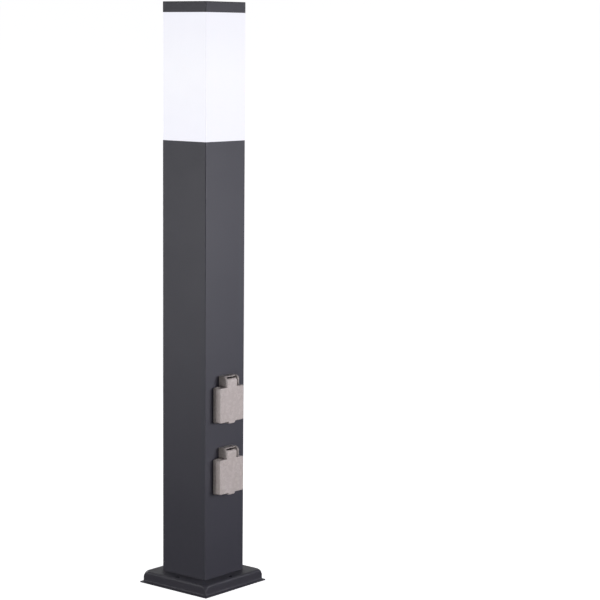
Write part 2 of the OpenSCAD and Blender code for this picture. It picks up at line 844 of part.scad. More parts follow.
module bulb() {
    color("#f4f2ec") {
        translate([0, 0, contact_z]) cylinder(r1 = 4, r2 = 6, h = 2.5);
        translate([0, 0, contact_z + 2]) cylinder(r = cap_thread_r, h = neck_z - contact_z - 1);
        translate([0, 0, neck_z]) cylinder(r1 = cap_thread_r + 1, r2 = globe_cut_r,
            h = bulb_z - globe_drop - neck_z + 0.01);
        intersection() {
            translate([0, 0, bulb_z]) sphere(r = bulb_r);
            translate([0, 0, bulb_z - globe_drop]) cylinder(r = bulb_d, h = 2 * bulb_d);
        }
    }
}

// Pieces at the post's foot
module terminal_bracket() {
    foot = 6;
    color("#8c8c90") difference() {
        translate([0, 0, bracket_low]) linear_extrude(bracket_h) difference() {
            translate([-bracket_half - foot, bracket_face])
                square([2 * (bracket_half + foot), bracket_off]);
            translate([-bracket_half + bracket_t, bracket_face + bracket_t])
                square([2 * (bracket_half - bracket_t), bracket_off]);
            for (s = [-1, 1]) translate([s * (bracket_half + (foot + cut) / 2),
                bracket_face + bracket_off / 2 - bracket_t]) square([foot + cut, bracket_off], center = true);
        }
        strip_screw_places() cylinder(r = small_screw_r + slack, h = strip_t + bracket_t + cut);
        clamp_screw_places() cylinder(r = small_screw_r + slack, h = clamp_plate_t + bracket_t + cut);
    }
}

module strip_screw_places() {
    for (s = [-1, 1]) translate([s * 2 * pole_pitch, strip_front, strip_z + strip_h / 2])
        rotate([-90, 0, 0]) children();
}

module clamp_screw_places() {
    for (s = [-1, 1]) translate([s * clamp_x, bracket_face - clamp_plate_t, bracket_low + 12])
        rotate([-90, 0, 0]) children();
}

function pole_x(i) = (i - (poles - 1) / 2) * pole_pitch;

module pole_places() {
    for (i = [0:poles - 1]) translate([pole_x(i), 0, strip_z]) children();
}

module terminal_strip() {
    color("#e4e2dc") difference() {
        translate([-strip_half, strip_front, strip_z]) cube([2 * strip_half, strip_t, strip_h]);
        pole_places() {
            for (z = [-cut, strip_h - strip_entry]) translate([0, strip_y, z])
                cylinder(r = wire_r + 0.4, h = strip_entry + cut);
            for (z = [strip_screw_z, strip_h - strip_screw_z])
                translate([0, strip_front - cut, z]) rotate([-90, 0, 0])
                cylinder(r = 1.9, h = 5.2 + cut);
        }
        strip_screw_places() translate([0, 0, -cut])
            cylinder(r = small_screw_r + slack, h = strip_t + 2 * cut);
    }
}

module terminal_screws() {
    color("#c8c8c4") pole_places() for (z = [strip_screw_z, strip_h - strip_screw_z])
        translate([0, strip_front + 2.2, z]) rotate([90, 0, 0]) cheese_screw(1.3, 1.8, 1.4, 3);
}

module strip_screws() {
    color("#c8c8c4") strip_screw_places() rotate([180, 0, 0])
        cheese_screw(small_screw_r, 2.4, 1.6, strip_t + bracket_t + 3);
}

module cable_clamp() {
    color("#8c8c90") difference() {
        translate([-clamp_x - 6, bracket_face - clamp_plate_t, bracket_low + 7])
            cube([2 * clamp_x + 12, clamp_plate_t, 10]);
        clamp_screw_places() translate([0, 0, -cut]) cylinder(r = small_screw_r + slack, h = 6);
        translate([0, bracket_face - clamp_plate_t - 2.5, bracket_low]) cylinder(r = 3.5, h = 30);
    }
}

module clamp_screws() {
    color("#c8c8c4") clamp_screw_places() rotate([180, 0, 0])
        cheese_screw(small_screw_r, 2.8, 1.8, bracket_t + 6);
}

// Places a piece drawn upwards so that it runs along +X at the stud's height
module on_wall(x) {
    translate([x, 0, stud_z]) rotate([0, 90, 0]) children();
}

module earth_stud() {
    color("#c9a24b") {
        on_wall(stud_x) cylinder(r = stud_r, h = stud_l);
        on_wall(bore_half - 1) cylinder(r = stud_r + 1.5, h = 1);
    }
}

module earth_nuts() {
    color("#c9a24b") for (x = [lug_x - lug_t - earth_nut_t, lug_x]) on_wall(x)
        hex_nut(8, stud_r + nut_gap, earth_nut_t);
}

// Wires: straight legs joined by smooth bends, swept with a round section
function unit(v) = v / norm(v);
function bend(a, b, c) = let (p = b + wire_bend * unit(a - b), q = b + wire_bend * unit(c - b))
    [for (i = [0:bend_steps]) let (t = i / bend_steps)
        (1 - t) * (1 - t) * p + 2 * t * (1 - t) * b + t * t * q];
function route(p) = [p[0], for (i = [1:len(p) - 2]) each bend(p[i - 1], p[i], p[i + 1]), p[len(p) - 1]];
function heading(p, i) = unit(p[min(i + 1, len(p) - 1)] - p[max(i - 1, 0)]);
function carry(u, t) = unit(u - (u * t) * t);
function normals(p, i, u) = i == len(p) ? [] :
    let (n = carry(u, heading(p, i))) concat([n], normals(p, i + 1, n));

module wire(corners) {
    p = route(corners);
    n = wire_sides;
    side = normals(p, 0, [0.6, 0.8, 0]);
    points = [for (i = [0:len(p) - 1]) let (t = heading(p, i), v = cross(t, side[i]))
        for (k = [0:n - 1]) p[i] + wire_r * (cos(360 * k / n) * side[i] + sin(360 * k / n) * v)];
    last = (len(p) - 1) * n;
    quads = [for (i = [0:len(p) - 2], k = [0:n - 1]) [i * n + k, i * n + (k + 1) % n]];
    faces = concat(
        [for (q = quads) [q[0], q[1] + n, q[1]]],
        [for (q = quads) [q[0], q[0] + n, q[1] + n]],
        [for (k = [1:n - 2]) [0, k, k + 1]],
        [for (k = [1:n - 2]) [last, last + k + 1, last + k]]);
    polyhedron(points, faces);
}

function strip_top(i) = [pole_x(i), strip_y, strip_z + strip_h - strip_entry + 1];
function outlet_wire(i, x, up, z) = [strip_top(i), [pole_x(i), strip_y, z + up - 26],
    [x, strip_y - 14, z + up], [x, -post_half - block_back - wire_depth + 0.5, z + up]];
tab_x = post_half + tab_back;
stem_z = seat_z - stem_drop;

module live_wires() {
    color("#6b4226") {
        wire(outlet_wire(2, -contact_x, wire_up, low_z));
        wire(outlet_wire(1, -contact_x, wire_up, high_z));
        wire([strip_top(0), [pole_x(0), strip_y, switch_z - 20], [pole_x(0), -tab_off, switch_z],
            [tab_x, -tab_off, switch_z]]);
        wire([[tab_x, tab_off, switch_z], [-10, tab_off, switch_z], [-1.6, 0, stem_z - 14],
            [-1.6, 0, seat_z + 5]]);
    }
}

module neutral_wires() {
    color("#3d62a8") {
        wire(outlet_wire(5, contact_x, wire_up, low_z));
        wire(outlet_wire(6, contact_x, wire_up, high_z));
        wire([strip_top(7), [pole_x(7), strip_y, stem_z - 45], [1.6, 0, stem_z - 14],
            [1.6, 0, seat_z + 5]]);
    }
}

module earth_wires() {
    strip_low = [pole_x(4), strip_y, strip_z + strip_entry - 1];
    color("#7fa63c") {
        wire(outlet_wire(4, earth_side, earth_y, low_z));
        wire(outlet_wire(3, earth_side, earth_y, high_z));
        wire([strip_low, [pole_x(4), strip_y, strip_z - 14], [lug_x - lug_t / 2, 14, stud_z],
            [lug_x - lug_t / 2, stud_r + 1.5, stud_z]]);
        on_wall(lug_x - lug_t) tube(stud_r + 1.9, stud_r + 0.2, lug_t);
    }
}

// Placed outlet pieces
module lower_flange_seal() on_front(low_z) flange_seal();
module lower_frame() on_front(low_z) socket_frame();
module lower_insert() on_front(low_z) socket_insert();
module lower_earth_clip() on_front(low_z) earth_clip();
module lower_contacts() on_front(low_z) contacts();
module lower_contact_block() on_front(low_z) contact_block();
module lower_terminal_screws() on_front(low_z) outlet_terminal_screws();
module lower_centre_screw() on_front(low_z) centre_screw();
module lower_rear_cover() on_front(low_z) rear_cover();
module lower_frame_screws() on_front(low_z) frame_screws();
module lower_lid() on_front(low_z) lid();
module lower_lid_seal() on_front(low_z) lid_seal();
module lower_hinge_pin() on_front(low_z) hinge_pin();
module lower_lid_spring() on_front(low_z) lid_spring();
module upper_flange_seal() on_front(high_z) flange_seal();
module upper_frame() on_front(high_z) socket_frame();
module upper_insert() on_front(high_z) socket_insert();
module upper_earth_clip() on_front(high_z) earth_clip();
module upper_contacts() on_front(high_z) contacts();
module upper_contact_block() on_front(high_z) contact_block();
module upper_terminal_screws() on_front(high_z) outlet_terminal_screws();
module upper_centre_screw() on_front(high_z) centre_screw();
module upper_rear_cover() on_front(high_z) rear_cover();
module upper_frame_screws() on_front(high_z) frame_screws();
module upper_lid() on_front(high_z) lid();
module upper_lid_seal() on_front(high_z) lid_seal();
module upper_hinge_pin() on_front(high_z) hinge_pin();
module upper_lid_spring() on_front(high_z) lid_spring();

base_plate();
post_tube();
terminal_bracket();
terminal_strip();
terminal_screws();
strip_screws();
cable_clamp();
clamp_screws();
earth_stud();
earth_nuts();
live_wires();
neutral_wires();
earth_wires();
lower_flange_seal();
lower_frame();
lower_insert();
lower_earth_clip();
lower_contacts();
lower_contact_block();
lower_terminal_screws();
lower_centre_screw();
lower_rear_cover();
lower_frame_screws();
lower_lid();
lower_lid_seal();
lower_hinge_pin();
lower_lid_spring();
upper_flange_seal();
upper_frame();
upper_insert();
upper_earth_clip();
upper_contacts();
upper_contact_block();
upper_terminal_screws();
upper_centre_screw();
upper_rear_cover();
upper_frame_screws();
upper_lid();
upper_lid_seal();
upper_hinge_pin();
upper_lid_spring();
switch_body();
switch_seal();
switch_nut();
switch_button();
switch_spring();
switch_base();
switch_tabs();
head_plate();
lower_gasket();
diffuser();
upper_gasket();
cap();
cap_frame();
tie_rods();
rod_nuts();
cap_screws();
lamp_holder();
holder_parts();
bulb();
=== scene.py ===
"""Garden socket post in Blender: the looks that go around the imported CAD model.

Sizes are millimetres in the classes and metres in the scene. The origin is the bottom centre of the
foot, +Z runs up the post, the outlets are on the -Y face and the push switch is on the +X face.
"""

import logging
import math
from dataclasses import dataclass, field
from enum import Enum
from typing import Any, Iterable, Optional, Sequence

import bmesh
import bpy
from mathutils import Matrix, Vector


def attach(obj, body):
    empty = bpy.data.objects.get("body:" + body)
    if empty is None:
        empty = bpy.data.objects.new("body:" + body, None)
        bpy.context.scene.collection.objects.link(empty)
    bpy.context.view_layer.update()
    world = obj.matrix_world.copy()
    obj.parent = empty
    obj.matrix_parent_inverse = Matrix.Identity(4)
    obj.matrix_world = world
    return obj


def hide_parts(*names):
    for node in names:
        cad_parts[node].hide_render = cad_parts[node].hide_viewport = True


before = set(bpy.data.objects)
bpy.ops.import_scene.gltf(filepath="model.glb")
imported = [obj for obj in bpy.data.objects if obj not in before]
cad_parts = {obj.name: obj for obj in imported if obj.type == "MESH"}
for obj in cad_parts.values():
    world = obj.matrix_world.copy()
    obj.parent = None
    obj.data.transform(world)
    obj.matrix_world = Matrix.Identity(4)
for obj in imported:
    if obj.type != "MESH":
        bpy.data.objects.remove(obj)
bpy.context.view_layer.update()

METRE = 0.001
log = logging.getLogger("socket_post")

Point2 = tuple[float, float]
Point3 = tuple[float, float, float]
Link = bpy.types.NodeSocket


def linear(code: str) -> tuple[float, float, float, float]:
    """Turns an sRGB hex colour into the linear values that shaders take.

    Args:
        code: six hex digits after a hash sign.

    Returns:
        Linear red, green and blue, and an alpha of one.
    """
    parts = [int(code[i : i + 2], 16) / 255 for i in (1, 3, 5)]
    low, knee = 12.92, 0.04045
    values = [c / low if c <= knee else ((c + 0.055) / 1.055) ** 2.4 for c in parts]
    return (values[0], values[1], values[2], 1.0)


def per_metre(millimetres: float) -> float:
    """Gives the texture scale at which one feature of a pattern is this wide."""
    return 1 / (millimetres * METRE)


class Nodes:
    """A node tree that starts empty, and the coordinates that its patterns are laid on."""

    def __init__(self, owner: bpy.types.ID, coordinates: str = "Object") -> None:
        """Empties the tree of a material or world and adds the coordinates, in metres.

        Args:
            owner: the material or world.
            coordinates: which of Blender's texture coordinates to use.
        """
        owner.use_nodes = True
        self.tree = owner.node_tree
        self.tree.nodes.clear()
        self.place: Link = self.add("ShaderNodeTexCoord").outputs[coordinates]

    def add(self, kind: str, settings: Optional[dict[Any, Any]] = None,
            links: Optional[dict[Any, Link]] = None) -> bpy.types.Node:
        """Adds a shader node with its settings and incoming links.

        Args:
            kind: Blender's name of the node type.
            settings: values by input name or number, or by the node's own property name.
            links: output sockets by the name or number of the input that they feed.

        Returns:
            The new node.
        """
        node = self.tree.nodes.new(kind)
        for key, value in (settings or {}).items():
            if isinstance(key, str) and key not in node.inputs:
                setattr(node, key, value)
            else:
                node.inputs[key].default_value = value
        for key, source in (links or {}).items():
            self.tree.links.new(source, node.inputs[key])
        return node

    def noise(self, size_mm: float, detail: float = 2.0, place: Optional[Link] = None) -> Link:
        """Makes a soft random pattern from zero to one with features of a real size.

        Args:
            size_mm: width of one feature.
            detail: how many finer octaves are added.
            place: coordinates to use in place of the tree's own.

        Returns:
            The pattern's value.
        """
        settings = {"Scale": per_metre(size_mm), "Detail": detail, "Roughness": 0.55}
        return self.add("ShaderNodeTexNoise", settings, {"Vector": place or self.place}).outputs[0]

    def mix(self, amount: Link, first: Any, second: Any) -> Link:
        """Mixes two colours, each a hex code or a socket, by an amount from zero to one.

        Args:
            amount: how much of the second colour shows.
            first: colour where the amount is zero.
            second: colour where the amount is one.

        Returns:
            The mixed colour.
        """
        node = self.add("ShaderNodeMix", {"data_type": "RGBA"}, {0: amount})
        for number, colour in ((6, first), (7, second)):
            if isinstance(colour, str):
                node.inputs[number].default_value = linear(colour)
            else:
                self.tree.links.new(colour, node.inputs[number])
        return node.outputs[2]

    def span(self, value: Link, ends: tuple[float, float, float, float]) -> Link:
        """Maps a value from one range to another and clamps it.

        Args:
            value: the value to map.
            ends: low and high end of the first range, then of the second.

        Returns:
            The mapped value.
        """
        settings = dict(zip(("From Min", "From Max", "To Min", "To Max"), ends))
        return self.add("ShaderNodeMapRange", settings, {"Value": value}).outputs[0]


class Body(Enum):
    """CAD bodies that a piece can move with."""

    POST = "post"
    LOWER_LID = "lower_lid"
    UPPER_LID = "upper_lid"
    BUTTON = "button"


@dataclass(frozen=True)
class Finish:
    """What every finish has: a name, two close tones, a gloss, a grain and a record slot."""

    name: str
    slot: str
    tone: str
    second_tone: str
    roughness: float
    cloud_mm: float = 45.0
    grain_mm: float = 0.5
    grain_depth_mm: float = 0.02
    grain_strength: float = 0.4
    roughness_spread: float = 0.06
    metallic: float = 0.0
    ior: float = 1.5

    def material(self) -> bpy.types.Material:
        """Builds the material at its first use and hands out the same one after that."""
        made = bpy.data.materials.get(self.name)
        return made if made else self._build()

    def _build(self) -> bpy.types.Material:
        """Builds the colour, the gloss and the relief, and joins them in one shader.

        Returns:
            The finished material.
        """
        made = bpy.data.materials.new(self.name)
        made.diffuse_color = linear(self.tone)
        nodes = Nodes(made)
        settings = {"Metallic": self.metallic, **self.extras()}
        if self.metallic < 1:
            settings["IOR"] = self.ior
        surface = nodes.add("ShaderNodeBsdfPrincipled", settings, {
            "Base Color": self.colour(nodes),
            "Roughness": self.gloss(nodes),
            "Normal": self.relief(nodes),
        })
        self.finish_off(nodes, surface)
        nodes.add("ShaderNodeOutputMaterial", links={"Surface": surface.outputs[0]})
        return made

    def extras(self) -> dict[str, Any]:
        """Gives the shader's constant settings beyond gloss and metal."""
        return {}

    def colour(self, nodes: Nodes) -> Link:
        """Lets the two tones drift into each other in soft clouds."""
        clouds = nodes.span(nodes.noise(self.cloud_mm), (0.3, 0.7, 0, 1))
        return nodes.mix(clouds, self.tone, self.second_tone)

    def gloss(self, nodes: Nodes) -> Link:
        """Lets the roughness drift a little either side of its middle value."""
        low, high = self.roughness - self.roughness_spread, self.roughness + self.roughness_spread
        return nodes.span(nodes.noise(self.cloud_mm / 3), (0.3, 0.7, low, high))

    def relief(self, nodes: Nodes) -> Link:
        """Raises the grain from its pattern."""
        return self.bump(nodes, {"Height": nodes.noise(self.grain_mm, 3.0)})

    def bump(self, nodes: Nodes, links: dict[Any, Link]) -> Link:
        """Raises the grain from the height that is linked in, over any relief beside it."""
        settings = {"Strength": self.grain_strength, "Distance": self.grain_depth_mm * METRE}
        return nodes.add("ShaderNodeBump", settings, links).outputs[0]

    def finish_off(self, nodes: Nodes, surface: bpy.types.Node) -> None:
        """Adds what only one kind of finish has; the plain ones add nothing."""


@dataclass(frozen=True)
class PowderCoat(Finish):
    """Baked polyester powder on steel: satin, with the orange peel that the melt leaves."""

    roughness: float = 0.47
    grain_mm: float = 0.6
    grain_depth_mm: float = 0.03
    grain_strength: float = 0.35
    roughness_spread: float = 0.02
    peel_mm: float = 2.2
    peel_depth_mm: float = 0.05
    peel_strength: float = 0.25
    fleck_mm: float = 1.1
    fleck: str = "#5e5e68"

    def colour(self, nodes: Nodes) -> Link:
        """Adds the faint paler specks of the powder's flakes to the drifting tones.

        Args:
            nodes: the material's nodes.

        Returns:
            The colour.
        """
        flakes = nodes.add("ShaderNodeTexVoronoi", {"Scale": per_metre(self.fleck_mm)},
                           {"Vector": nodes.place}).outputs["Distance"]
        specks = nodes.span(flakes, (0.08, 0.22, 0.35, 0))
        return nodes.mix(specks, super().colour(nodes), self.fleck)

    def relief(self, nodes: Nodes) -> Link:
        """Lays the fine grain of the powder over the slow waves of the orange peel.

        Args:
            nodes: the material's nodes.

        Returns:
            The raised normal.
        """
        settings = {"Strength": self.peel_strength, "Distance": self.peel_depth_mm * METRE}
        peel = nodes.add("ShaderNodeBump", settings, {"Height": nodes.noise(self.peel_mm, 1.0)})
        grain = nodes.noise(self.grain_mm, 2.0)
        return self.bump(nodes, {"Height": grain, "Normal": peel.outputs[0]})


@dataclass(frozen=True)
class MouldedPlastic(Finish):
    """Injection-moulded thermoplastic: the tool's spark-eroded grain and an even, low sheen."""

    grain_strength: float = 0.3
    mottle_mm: float = 1.6

    def colour(self, nodes: Nodes) -> Link:
        """Adds the faint mottle that the grain gives a pale plastic."""
        mottle = nodes.span(nodes.noise(self.mottle_mm, 3.0), (0.35, 0.75, 0, 0.35))
        return nodes.mix(mottle, super().colour(nodes), self.second_tone)


@dataclass(frozen=True)
class OpalAcrylic(Finish):
    """Opal acrylic, extruded and lit from inside: light spreads in it, so no face looks dark."""

    glow: str = "#f9f9ff"
    glow_edge: str = "#f4f4fd"
    glow_strength: float = 0.915
    lamp_height_m: float = 0.7105
    fade_m: float = 0.1

    def extras(self) -> dict[str, Any]:
        """Spreads light a few millimetres under the surface and adds the lamp's glow."""
        return {"Subsurface Weight": 0.25, "Subsurface Scale": 4 * METRE,
                "Emission Strength": self.glow_strength}

    def finish_off(self, nodes: Nodes, surface: bpy.types.Node) -> None:
        """Lets the glow fade a little from the bulb's height towards both ends.

        Args:
            nodes: the material's nodes.
            surface: the shader that glows.
        """
        height = nodes.add("ShaderNodeSeparateXYZ", links={0: nodes.place}).outputs["Z"]
        offset = nodes.add("ShaderNodeMath", {"operation": "SUBTRACT", 1: self.lamp_height_m},
                           {0: height})
        away = nodes.add("ShaderNodeMath", {"operation": "ABSOLUTE"}, {0: offset.outputs[0]})
        fade = nodes.span(away.outputs[0], (0, self.fade_m, 0, 1))
        glow = nodes.mix(fade, self.glow, self.glow_edge)
        nodes.tree.links.new(glow, surface.inputs["Emission Color"])


@dataclass(frozen=True)
class PlatedMetal(Finish):
    """Plated or turned metal: bright, with fine lines from the tool under the plate."""

    grain_strength: float = 0.3
    metallic: float = 1.0
    line_mm: float = 0.25
    stretch: Point3 = (1.0, 1.0, 0.15)

    def relief(self, nodes: Nodes) -> Link:
        """Draws the fine lines, stretched along the way that the tool went."""
        long = nodes.add("ShaderNodeMapping", {"Scale": self.stretch}, {"Vector": nodes.place})
        return self.bump(nodes, {"Height": nodes.noise(self.line_mm, 2.0, long.outputs[0])})


@dataclass(frozen=True)
class SoftRubber(Finish):
    """Moulded rubber: matt and dark, with a bloom that greys it in patches."""

    def extras(self) -> dict[str, Any]:
        """Gives the rubber its dusty sheen at grazing angles."""
        return {"Sheen Weight": 0.15, "Sheen Roughness": 0.6, "Specular IOR Level": 0.35}


@dataclass(frozen=True)
class CableSheath(Finish):
    """Extruded PVC on a core: smooth, with slow waves along it and, on earth, two colours."""

    roughness: float = 0.4
    cloud_mm: float = 6.0
    grain_mm: float = 0.8
    grain_strength: float = 0.2
    stripe: Optional[str] = None
    lay_mm: float = 9.0

    def colour(self, nodes: Nodes) -> Link:
        """Winds the second colour around the core where the sheath has one.

        Args:
            nodes: the material's nodes.

        Returns:
            The colour.
        """
        base = super().colour(nodes)
        if self.stripe is None:
            return base
        settings = {"Scale": per_metre(self.lay_mm) / math.tau, "bands_direction": "DIAGONAL"}
        bands = nodes.add("ShaderNodeTexWave", settings, {"Vector": nodes.place}).outputs["Fac"]
        return nodes.mix(nodes.span(bands, (0.45, 0.55, 0, 1)), base, self.stripe)


class Finishes:
    """The finishes of this post, each named for the real material and how it was made."""

    # Anthracite polyester powder: a cool near-black grey with a satin sheen and fine orange peel.
    POST_COAT = PowderCoat("anthracite_powder_coat_post", "post_paint", "#3e3d46", "#3b3a43",
                           cloud_mm=120.0, roughness_spread=0.015)
    # The same powder on the pressing, its tone set a little darker than the post's: painted shade.
    FOOT_COAT = PowderCoat("anthracite_powder_coat_foot", "foot_paint", "#3c3a42", "#38363e",
                           cloud_mm=40.0)
    # The same powder on the folded cap, its tone set a little lighter than the post's: painted
    # light.
    CAP_COAT = PowderCoat("anthracite_powder_coat_cap", "cap_paint", "#4b4a51", "#47464d",
                          cloud_mm=50.0)
    # Primed sheet steel inside the head: a dull mid grey.
    PRIMED = PowderCoat("sheet_steel_primed", "inner_steel", "#5e5e63", "#56565c", 0.6, 25.0,
                        0.8, 0.02, 0.3, 0.06)
    # Opal acrylic: a white that glows evenly, satin outside.
    OPAL = OpalAcrylic("opal_acrylic_extruded", "opal", "#48484b", "#444447", 0.42, 60.0,
                       1.5, 0.01, 0.1, ior=1.49)
    # Grey thermoplastic with a spark-eroded grain: a warm light grey, satin, faintly mottled.
    LID_PLASTIC = MouldedPlastic("warm_grey_abs_spark_eroded", "lid_plastic", "#d2c7c3",
                                 "#c9beb9", 0.27, 14.0, 0.55, 0.03, roughness_spread=0.03,
                                 ior=1.54)
    # The frames' grey is darker than the lids', partly its own tone and partly painted shade for
    # its sides near the post; its grain is finer.
    FRAME_PLASTIC = MouldedPlastic("mid_grey_abs_moulded", "frame_plastic", "#aba29e",
                                   "#a29995", 0.27, 14.0, 0.5, 0.025, roughness_spread=0.03,
                                   ior=1.54)
    # The well's plastic has less grain, because a plug slides in it.
    WELL_PLASTIC = MouldedPlastic("mid_grey_polyamide_moulded", "insert_plastic", "#a5a09d",
                                  "#9b9694", 0.38, 12.0, 0.4, 0.01, ior=1.53)
    # Black phenolic: hard, with the flow marks of the press.
    PHENOLIC = MouldedPlastic("black_phenolic_pressed", "dark_plastic", "#2c2c2e", "#36363a",
                              0.36, 8.0, 0.6, 0.02, ior=1.6)
    # White polyamide: the lamp holder's body and the terminal strip's.
    PALE_PLASTIC = MouldedPlastic("white_polyamide_moulded", "pale_plastic", "#e9e7e1",
                                  "#dfdcd4", 0.42, 10.0, 0.5, 0.015, ior=1.53)
    # Opal bulb: satin white coating inside the glass gives a smooth outside.
    BULB = MouldedPlastic("bulb_polycarbonate_opal", "bulb_white", "#f3f1ea", "#efece4",
                          0.22, 20.0, 2.0, 0.005, 0.1, ior=1.58)
    # Black EPDM: the gaskets and seals.
    RUBBER = SoftRubber("black_epdm_moulded", "seal_rubber", "#222226", "#2b2b30", 0.68, 9.0,
                        0.35, 0.02, 0.5, ior=1.52)
    # Zinc plate: a bluish grey metal, not quite a mirror.
    ZINC = PlatedMetal("steel_zinc_plated", "zinc_steel", "#c3c5c9", "#b4b7bd", 0.3, 5.0,
                       grain_depth_mm=0.01)
    # Bright nickel on turned brass: a warm satin shine with fine turning lines.
    NICKEL = PlatedMetal("brass_nickel_plated_turned", "nickel", "#f0ede8", "#e6e2dc", 0.33, 4.0,
                         grain_depth_mm=0.004, grain_strength=0.25, roughness_spread=0.03,
                         line_mm=0.35)
    # Turned brass, left bare.
    BRASS = PlatedMetal("brass_turned_bare", "brass", "#d9b15e", "#c9a04e", 0.24, 5.0,
                        grain_depth_mm=0.008)
    # PVC sheaths in the three colours that mains wiring has.
    LIVE = CableSheath("pvc_sheath_brown_extruded", "wire_brown", "#6b4330", "#5f3a29")
    NEUTRAL = CableSheath("pvc_sheath_blue_extruded", "wire_blue", "#3560a4", "#2f5796")
    EARTH = CableSheath("pvc_sheath_green_and_yellow_extruded", "wire_green", "#4f8f3a",
                        "#478334", stripe="#d8c338")


def arc(centre: Point2, radius: float, start: float, end: float, steps: int = 6) -> list[Point2]:
    """Gives points along an arc, both ends included.

    Args:
        centre: the arc's centre.
        radius: the arc's radius.
        start: first angle in degrees.
        end: last angle in degrees.
        steps: how many chords the arc has.

    Returns:
        The points in order.
    """
    angles = [math.radians(start + (end - start) * i / steps) for i in range(steps + 1)]
    return [(centre[0] + radius * math.cos(a), centre[1] + radius * math.sin(a)) for a in angles]


def rectangle(left: float, right: float, low: float, high: float) -> list[Point2]:
    """Gives a rectangle's corners, anticlockwise from the lowest left one."""
    return [(left, low), (right, low), (right, high), (left, high)]


def soft_square(half: float, radius: float, half_y: Optional[float] = None) -> list[Point2]:
    """Gives a rectangle with round corners, anticlockwise.

    Args:
        half: half width.
        radius: corner radius.
        half_y: half height, or None for a square.

    Returns:
        The outline's points.
    """
    tall = half if half_y is None else half_y
    corners = ((1, 1), (-1, 1), (-1, -1), (1, -1))
    points: list[Point2] = []
    for number, (sx, sy) in enumerate(corners):
        centre = (sx * (half - radius), sy * (tall - radius))
        points += arc(centre, radius, 90 * number, 90 * number + 90, 8)
    return points


def inset(points: Sequence[Point2], distance: float) -> list[Point2]:
    """Moves an anticlockwise outline inwards along its corners' bisectors.

    Args:
        points: the outline.
        distance: how far each side moves.

    Returns:
        The moved outline, with as many points.
    """
    moved: list[Point2] = []
    for i, here in enumerate(points):
        before, after = Vector(points[i - 1]), Vector(points[(i + 1) % len(points)])
        first, second = Vector(here) - before, after - Vector(here)
        if first.length < 1e-7 or second.length < 1e-7:
            first = second = first if first.length > second.length else second
        first.normalize()
        second.normalize()
        a, b = Vector((-first.y, first.x)), Vector((-second.y, second.x))
        shift = (a + b) * (distance / max(1 + a.dot(b), 0.2))
        moved.append((here[0] + shift.x, here[1] + shift.y))
    return moved


